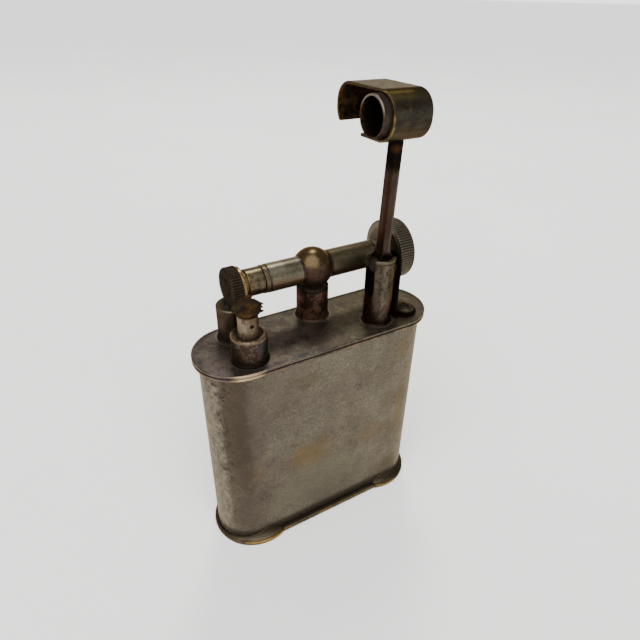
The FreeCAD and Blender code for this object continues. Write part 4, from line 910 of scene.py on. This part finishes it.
# A node's place in this list is also the seed of its patterns.
METAL_LOOKS = {
    "tank_shell": dict(
        base=NICKEL, tone=(205, 170, 140), worn=BRASS, toning=0.6, cloud=0.1, wear=0.3, rough=0.46,
        grain=(0.35, 0.5, 8.0), pits=0.18, grime=0.5, contrast=1.7, dent=0.35, gain=0.4, blue=0.92,
        stains=tank_stains),
    "top_plate": dict(
        base=(165, 138, 112), tone=(90, 70, 62), worn=NICKEL_PALE, toning=0.65, cloud=0.16,
        wear=0.22, rough=0.4, grain=(0.4, 6.0, 0.6), grime=0.85, edge=0.08, soften=0.05, contrast=1.5,
        gain=0.6, blue=0.97, stains=plate_stains),
    "base_plate": dict(
        base=(150, 122, 92), tone=(70, 52, 40), worn=BRASS_BRIGHT, toning=0.6, cloud=0.2,
        wear=0.45, rough=0.38, grain=(0.4, 4.0, 4.0), gain=0.4, stains=base_stains),
    "burner_socket": dict(
        base=(170, 128, 96), tone=(85, 55, 40), worn=(460, 360, 240), toning=0.7,
        cloud=0.3, wear=0.65, rough=0.28, soften=0.3, contrast=1.6, gain=0.4, blue=0.98, foot=POST_FOOT,
        stains=socket_stains),
    "wick_tube": dict(
        base=(360, 300, 235), tone=(240, 170, 120), worn=(550, 440, 320), cloud=0.3,
        contrast=1.6, gain=0.35, stains=wick_tube_stains),
    "flint_post": dict(
        base=(115, 86, 62), tone=(55, 35, 26), worn=(300, 210, 120), toning=0.7,
        cloud=0.3, wear=0.8, rough=0.38, contrast=1.3, gain=0.34, blue=0.9, sheen=DULL_SHEEN,
        foot=POST_FOOT, stains=flint_post_stains),
    "flint_tube": dict(PLAIN_BRASS, toning=0.7),
    "flint_plunger": dict(PLAIN_BRASS, toning=0.4),
    "flint_screw": dict(PLAIN_BRASS, toning=0.6, soften=0.06, contrast=1.5, gain=0.65),
    "filler_bush": dict(PLAIN_BRASS, toning=0.6),
    "filler_screw": dict(
        base=(300, 265, 215), tone=(170, 135, 100), worn=BRASS_BRIGHT, toning=0.6, cloud=0.25,
        rough=0.36, soften=0.06, contrast=1.5, gain=0.6),
    "flint_spring": dict(
        base=(260, 250, 235), tone=(120, 85, 60), worn=(400, 380, 350), rough=0.32,
        soften=0.0),
    "support_post": dict(
        base=(105, 62, 40), tone=(50, 26, 18), worn=(260, 150, 85), toning=0.7,
        cloud=0.35, wear=0.7, rough=0.4, contrast=1.3, gain=0.92, blue=1.05, sheen=DULL_SHEEN,
        foot=POST_FOOT, stains=support_post_stains),
    "support_ball": dict(
        base=(165, 98, 64), tone=(85, 48, 36), worn=(340, 220, 100), toning=0.55,
        cloud=0.3, wear=0.3, rough=0.38, pits=0.06, contrast=1.6, dent=0.35, gain=0.42, blue=0.98,
        sheen=BALL_SHEEN, stains=ball_stains),
    "axle_tube": dict(
        base=(255, 235, 185), tone=(150, 125, 92), worn=(360, 260, 160), toning=0.55,
        cloud=0.25, wear=0.4, rough=0.34, grain=GRAIN_ROUND, contrast=1.5, dent=0.6, gain=0.42, blue=0.88,
        stains=tube_stains),
    "axle_bush_left": dict(PLAIN_BRASS),
    "axle_bush_right": dict(PLAIN_BRASS),
    "axle_washer": dict(
        base=(105, 84, 62), tone=(50, 36, 26), worn=(240, 190, 130), rough=0.4,
        gain=0.75),
    "axle": dict(
        base=(220, 200, 180), tone=(100, 65, 45), worn=(360, 330, 300), toning=0.6,
        rough=0.36, grain=GRAIN_ROUND, gain=0.7, sheen=DULL_SHEEN, stains=axle_stains),
    "spark_wheel": dict(
        base=(46, 37, 31), tone=(24, 19, 16), worn=(250, 190, 150), cloud=0.4,
        wear=0.85, rough=0.48, edge=0.08, soften=0.03, gain=0.52, blue=0.86, sheen=DULL_SHEEN,
        stains=wheel_stains),
    "spark_wheel_hub": dict(
        base=(235, 150, 72), tone=(105, 64, 36), worn=(550, 400, 210), toning=0.6,
        cloud=0.35, wear=0.7, rough=0.3, gain=0.64, stains=hub_stains),
    "hub_pin": dict(
        base=(60, 50, 42), tone=(30, 24, 20), worn=(200, 160, 120), rough=0.4,
        soften=0.03),
    "thumb_wheel": dict(
        base=(135, 122, 96), tone=(75, 55, 40), worn=(300, 255, 190), toning=0.6,
        cloud=0.2, wear=0.75, rough=0.38, edge=0.07, soften=0.03, gain=0.68, blue=0.92,
        stains=thumb_stains),
    "thumb_wheel_hub": dict(
        base=(150, 135, 100), tone=(70, 56, 40), worn=(280, 220, 150), toning=0.6,
        rough=0.38, grain=GRAIN_ROUND, gain=0.5),
    "axle_nut": dict(
        base=(200, 180, 145), tone=(100, 78, 56), worn=(400, 340, 250), toning=0.6,
        rough=0.34, soften=0.05),
    "arm_post": dict(
        base=(250, 192, 155), tone=(130, 88, 68), worn=(330, 275, 215), toning=0.6,
        cloud=0.25, wear=0.25, rough=0.3, pits=0.16, contrast=1.7, gain=0.22, blue=0.9, sheen=POST_SHEEN,
        foot=POST_FOOT, stains=arm_post_stains),
    "arm_pivot_pin": dict(
        base=(130, 105, 85), tone=(65, 36, 24), worn=(280, 220, 170), rough=0.38,
        soften=0.04, gain=0.42, sheen=POST_SHEEN, stains=pivot_pin_stains),
    "leaf_spring": dict(
        base=STEEL_BLACK, tone=(20, 16, 14), worn=(85, 65, 50), rough=0.55,
        grain=(0.5, 0.5, 0.1), soften=0.05, gain=0.16, sheen=DULL_SHEEN, stains=leaf_stains),
    "leaf_spring_screw": dict(
        base=(90, 80, 64), tone=(45, 34, 26), worn=(260, 200, 140), toning=0.6,
        wear=0.8, rough=0.36, soften=0.05, gain=0.8, sheen=DULL_SHEEN, stains=leaf_screw_stains),
    "arm": dict(
        base=(135, 94, 70), tone=(75, 42, 32), worn=(280, 180, 110), toning=0.6,
        cloud=0.25, rough=0.32, grain=(6.0, 6.0, 0.3), grime=0.3, gain=0.29, blue=0.98,
        sheen=DULL_SHEEN, stains=arm_stains),
    "hood_shell": dict(
        base=(185, 158, 118), tone=(100, 80, 58), worn=BRASS_BRIGHT, toning=0.6, cloud=0.16,
        wear=0.55, rough=0.33, grain=(0.4, 5.0, 5.0), grime=0.4, dent=0.6, gain=0.33, blue=0.88,
        sheen=HOOD_SHEEN, stains=hood_stains),
    "snuffer_cup": dict(
        base=(80, 68, 58), tone=(38, 30, 26), worn=(260, 210, 160), toning=0.6,
        wear=0.3, rough=0.4, grime=0.5, gain=0.55, blue=0.95, sheen=DULL_SHEEN, stains=cup_stains),
}


# ---- other materials

SCORCHED = (21, 13, 4)
EMBER = (66, 22, 6)
CHAR = (8, 6, 4)


def scorch(look, tufts, low, high, seed):
    """Burns fibres between two heights: brown, with reddish and black places."""
    height = look.shift(look.z, look.times(look.minus(tufts, 0.5), 1.6))
    look.lay(SCORCHED, look.ramp(height, low, high))
    look.lay(EMBER, look.cloud(0.47, 0.66, 0.5, 3.0, 0.6, seed=seed + 2), 0.5)
    look.lay(CHAR, look.cloud(0.43, 0.6, 0.7, 4.0, 0.65, seed=seed + 3), 0.85)
    look.shader.inputs["Specular IOR Level"].default_value = 0.06


def fibre_look(name, base, dark, seed, burnt=None):
    """Cotton fibres. burnt is the height where the scorching starts and the height where it is full."""
    look = Look(name)
    strands = look.noise(1.4, 6.0, 0.7, (2.2, 2.2, 0.5), warp=0.8, seed=seed)
    tufts = look.noise(0.6, 5.0, 0.65, seed=seed + 1)
    look.colour = look.mix(look.ramp(strands, 0.35, 0.65), dark, base)
    look.shade(0.55, look.ramp(tufts, 0.45, 0.7), 0.6)
    if burnt is not None:
        scorch(look, tufts, *burnt, seed)
    look.bump((strands, 0.12), (tufts, 0.1))
    return look.finish(look.colour, 0.0, 0.92)


def leather_look(name, seed):
    """Brown leather, darker where it is soaked."""
    look = Look(name)
    grain = look.noise(4.0, 5.0, 0.65, seed=seed)
    soaked = look.noise(0.8, 4.0, 0.6, seed=seed + 1)
    look.colour = look.mix(look.ramp(grain, 0.35, 0.65), (85, 45, 25), (170, 100, 55))
    look.lay((35, 20, 12), look.ramp(soaked, 0.45, 0.7), 0.6)
    look.bump((grain, 0.04))
    return look.finish(look.colour, 0.0, look.shift(look.times(soaked, 0.3), 0.55))


def flint_look(name, seed):
    """Dark grainy flint metal, browner in worn places."""
    look = Look(name)
    grain = look.noise(6.0, seed=seed)
    worn = look.noise(1.2, 4.0, 0.6, seed=seed + 1)
    look.colour = look.mix(look.ramp(grain, 0.35, 0.65), (16, 14, 12), (34, 30, 27))
    look.lay((50, 36, 26), look.ramp(worn, 0.5, 0.7), 0.6)
    look.bump((grain, 0.05))
    return look.finish(look.colour, 0.6, 0.62)


def floor_look():
    """Pale matte paper with a faint unevenness."""
    look = Look("floor")
    wide = look.noise(0.01, 4.0, 0.6, seed=60)
    fine = look.noise(0.9, 4.0, 0.6, seed=61)
    look.colour = look.mix(look.ramp(wide, 0.3, 0.7), (925, 920, 912), (950, 946, 940))
    look.bump((fine, 0.02))
    return look.finish(look.colour, 0.0, 0.85)


SHARP_DEGREES = 32


def dress(node, material):
    """Gives a CAD node its material, with smooth faces between sharp edges."""
    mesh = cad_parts[node].data
    mesh.materials.clear()
    mesh.materials.append(material)
    mesh.shade_smooth()
    mesh.set_sharp_from_angle(angle=math.radians(SHARP_DEGREES))


def dress_cad_nodes():
    for seed, (node, settings) in enumerate(METAL_LOOKS.items(), start=1):
        dress(node, aged_metal(node, seed, **settings))
    dress("cotton_wadding", fibre_look("cotton_wadding", (620, 580, 500), (400, 350, 270), 70))
    dress("wick", fibre_look("wick", (300, 240, 170), (140, 100, 60), 71))
    dress("filler_washer", leather_look("filler_washer", 72))
    dress("flint", flint_look("flint", 73))


def show(name, data):
    """A new object in the scene."""
    thing = bpy.data.objects.new(name, data)
    bpy.context.scene.collection.objects.link(thing)
    return thing


# ---- frayed wick

WICK_BOTTOM = 30.0
WICK_TOP = 50.12
WICK_RADIUS = 1.14
WICK_SIDES = 56
WICK_CORD_HEIGHTS = (WICK_BOTTOM, 40.0, WICK_TUBE_TOP + 0.02)
# Height and radius of the burnt head above the tube. No fibre's tip lies farther out than the reach.
WICK_HEAD = ((48.06, 1.32), (48.4, 1.7), (48.75, 2.08), (49.1, 2.14), (49.45, 1.92), (49.8, 1.5),
             (50.05, 0.8))
WICK_HEAD_REACH = 2.42


def outward(angle):
    return Vector((math.cos(angle), math.sin(angle), 0.0))


def upward(height):
    return Vector((0.0, 0.0, height))


def head_swell(direction, z):
    """How far the burnt head bulges out or in at one place: a broad lumpiness and a fine one."""
    broad = noise.noise(Vector((direction.x * 1.9, direction.y * 1.9, z * 1.4)))
    fine = noise.noise(Vector((direction.x * 6.0, direction.y * 6.0, z * 4.0)))
    return 1.0 + (0.26 * broad + 0.12 * fine)


def wick_core():
    """A lumpy charred plug: a cord in the tube that opens into a ragged head above it."""
    levels = [(z, WICK_RADIUS) for z in WICK_CORD_HEIGHTS] + list(WICK_HEAD)
    points = []
    for z, radius in levels:
        for k in range(WICK_SIDES):
            direction = outward(2 * math.pi * k / WICK_SIDES)
            swell = head_swell(direction, z) if z > WICK_TUBE_TOP else 1.0
            out = min(radius * swell, WICK_HEAD_REACH)
            points.append((direction.x * out, direction.y * out, z))
    top = len(points)
    bottom = top + 1
    points += [(0.0, 0.0, WICK_TOP), (0.0, 0.0, WICK_BOTTOM)]
    last_row = top - WICK_SIDES
    faces = []
    for low in range(0, last_row, WICK_SIDES):
        high = low + WICK_SIDES
        for k in range(WICK_SIDES):
            after = (k + 1) % WICK_SIDES
            faces.append((low + k, low + after, high + after, high + k))
    for k in range(WICK_SIDES):
        after = (k + 1) % WICK_SIDES
        faces.append((top, last_row + k, last_row + after))
        faces.append((bottom, after, k))
    return points, faces


def add_tuft(points, faces, rng, root, tip, width):
    """One flat bent tuft of fibres: a ribbon with some thickness that thins towards its tip."""
    side = (tip - root).cross(upward(1.0))
    side = side.normalized() if side.length > 1e-6 else Vector((1.0, 0.0, 0.0))
    steps = 6
    start = len(points)
    bend = Vector((rng.uniform(-0.3, 0.3), rng.uniform(-0.3, 0.3), rng.uniform(-0.15, 0.35)))
    for step in range(steps + 1):
        share = step / steps
        middle = root.lerp(tip, share) + bend * math.sin(math.pi * share) * 0.5
        half = width * (1.0 - 0.75 * share) * rng.uniform(0.8, 1.2) / 2
        up = upward(half * 0.8)
        for offset in (side * half, up, -side * half, -up):
            points.append(tuple(middle + offset))
    for step in range(steps):
        base = start + step * 4
        for k in range(4):
            after = (k + 1) % 4
            faces.append((base + k, base + after, base + 4 + after, base + 4 + k))
    faces.append(tuple(start + k for k in (3, 2, 1, 0)))
    faces.append(tuple(start + steps * 4 + k for k in range(4)))


def add_tufts(points, faces, rng, count, root_reach, root_height, tip_reach, rise, tip_height, width):
    """Tufts at random angles. Each pair of numbers is the least and the most of one measure."""
    for _ in range(count):
        out = outward(rng.uniform(0, 2 * math.pi))
        root = out * rng.uniform(*root_reach) + upward(rng.uniform(*root_height))
        reach = min(rng.uniform(*tip_reach), WICK_HEAD_REACH)
        tip = out * reach + upward(root.z + rng.uniform(*rise))
        tip.z = min(max(tip.z, tip_height[0]), tip_height[1])
        add_tuft(points, faces, rng, root, tip, rng.uniform(*width))


def make_wick():
    """The charred wick: a lumpy head with tufts and loose fibres, in place of the CAD stand-in."""
    rng = random.Random(11)
    points, faces = wick_core()
    add_tufts(points, faces, rng, 90, (0.3, 1.6), (48.6, 49.9), (1.6, 2.5), (-0.6, 0.25), (48.5, 50.4),
              width=(0.35, 0.85))
    add_tufts(points, faces, rng, 64, (0.3, 1.7), (48.2, 49.9), (1.3, WICK_HEAD_REACH), (-0.4, 0.35),
              (48.45, 50.5), width=(0.05, 0.12))
    for angle, height in ((-0.55, 48.45), (-0.25, 49.25)):
        out = outward(angle)
        tip = out * WICK_HEAD_REACH + upward(height + 0.1)
        add_tuft(points, faces, rng, out * 0.9 + upward(height), tip, 1.25)
    mesh = bpy.data.meshes.new("wick_frayed")
    placed = [((x + BURNER_X) * MM, (y + BURNER_Y) * MM, z * MM) for x, y, z in points]
    mesh.from_pydata(placed, [], faces)
    mesh.update()
    mesh.materials.append(fibre_look("wick_fibres", (46, 28, 8), (16, 9, 3), 71,
                                     burnt=(47.6, 49.8)))
    wick = show("wick_frayed", mesh)
    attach(wick, "case")
    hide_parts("wick")


# ---- stage, light and camera

FLOOR_REACH = 15.0
FLOOR_DROP = 0.00004


def make_floor():
    """A wide floor just under the base."""
    mesh = bpy.data.meshes.new("floor")
    signs = ((-1, -1), (1, -1), (1, 1), (-1, 1))
    corners = [(x * FLOOR_REACH, y * FLOOR_REACH, -FLOOR_DROP) for x, y in signs]
    mesh.from_pydata(corners, [], [(0, 1, 2, 3)])
    floor = show("floor", mesh)
    mesh.materials.append(floor_look())


# Places and size in metres, power in watts, spread in degrees, colour in shares.
AIM = (0.0, 0.0, 0.045)
LAMP_PLACE = (0.17, 0.31, 0.62)
LAMP_SIZE = 0.16
LAMP_POWER = 2.2
LAMP_COLOUR = (1.0, 0.96, 0.9)
SUN_DIRECTION = (-0.45, -0.65, 1.0)
SUN_STRENGTH = 5.4
SUN_SPREAD = 75.0


def make_lamp():
    """A small warm lamp above and behind."""
    data = bpy.data.lights.new("overhead_lamp", "AREA")
    data.shape = "DISK"
    data.size = LAMP_SIZE
    data.energy = LAMP_POWER
    data.color = LAMP_COLOUR
    lamp = show("overhead_lamp", data)
    lamp.location = LAMP_PLACE
    lamp.rotation_mode = "QUATERNION"
    lamp.rotation_quaternion = (Vector(AIM) - Vector(LAMP_PLACE)).to_track_quat("-Z", "Y")


def make_sun():
    """A wide, soft, even light from the front. Its direction points from the object to the light."""
    data = bpy.data.lights.new("soft_front", "SUN")
    data.energy = SUN_STRENGTH
    data.angle = math.radians(SUN_SPREAD)
    sun = show("soft_front", data)
    sun.rotation_mode = "QUATERNION"
    sun.rotation_quaternion = Vector(SUN_DIRECTION).to_track_quat("Z", "Y")


# Brightness of the room by height: sine of the angle above the horizon, and grey.
ROOM = ((0.0, 1.0), (0.16, 0.95), (0.34, 0.16), (1.0, 0.1))
ROOM_STRENGTH = 2.3
ROOM_TINT = (1.0, 0.985, 0.96)


def make_room():
    """The world: bright near the horizon and dark above."""
    world = bpy.data.worlds.new("room")
    bpy.context.scene.world = world
    world.use_nodes = True
    tree = world.node_tree
    tree.nodes.clear()
    place = tree.nodes.new("ShaderNodeTexCoord")
    split = tree.nodes.new("ShaderNodeSeparateXYZ")
    tree.links.new(place.outputs["Generated"], split.inputs[0])
    ramp = tree.nodes.new("ShaderNodeValToRGB")
    tree.links.new(split.outputs[2], ramp.inputs[0])
    stops = ramp.color_ramp.elements
    stops[0].position = ROOM[0][0]
    stops[1].position = ROOM[-1][0]
    for position, _ in ROOM[1:-1]:
        stops.new(position)
    for stop, (_, grey) in zip(stops, ROOM):
        stop.color = (*(grey * part for part in ROOM_TINT), 1.0)
    background = tree.nodes.new("ShaderNodeBackground")
    background.inputs["Strength"].default_value = ROOM_STRENGTH
    tree.links.new(ramp.outputs[0], background.inputs[0])
    output = tree.nodes.new("ShaderNodeOutputWorld")
    tree.links.new(background.outputs[0], output.inputs[0])


# The camera's place in metres, its axes and its lens in millimetres, as fitted to the photograph.
CAMERA_PLACE = (-0.036858, -0.063255, 0.087645)
CAMERA_RIGHT = (0.8651, -0.50129, 0.01737)
CAMERA_UP = (0.25596, 0.47097, 0.8442)
CAMERA_BACK = (-0.43137, -0.72588, 0.53575)
CAMERA_LENS = 28.896
CAMERA_SENSOR = 36.0


def make_camera():
    data = bpy.data.cameras.new("camera")
    data.sensor_width = CAMERA_SENSOR
    data.lens = CAMERA_LENS
    data.clip_start = 0.005
    data.clip_end = 60.0
    camera = show("camera", data)
    columns = Matrix((CAMERA_RIGHT, CAMERA_UP, CAMERA_BACK)).transposed().to_4x4()
    camera.matrix_world = Matrix.Translation(CAMERA_PLACE) @ columns
    bpy.context.scene.camera = camera


dress_cad_nodes()
make_wick()
make_floor()
make_sun()
make_lamp()
make_room()
make_camera()
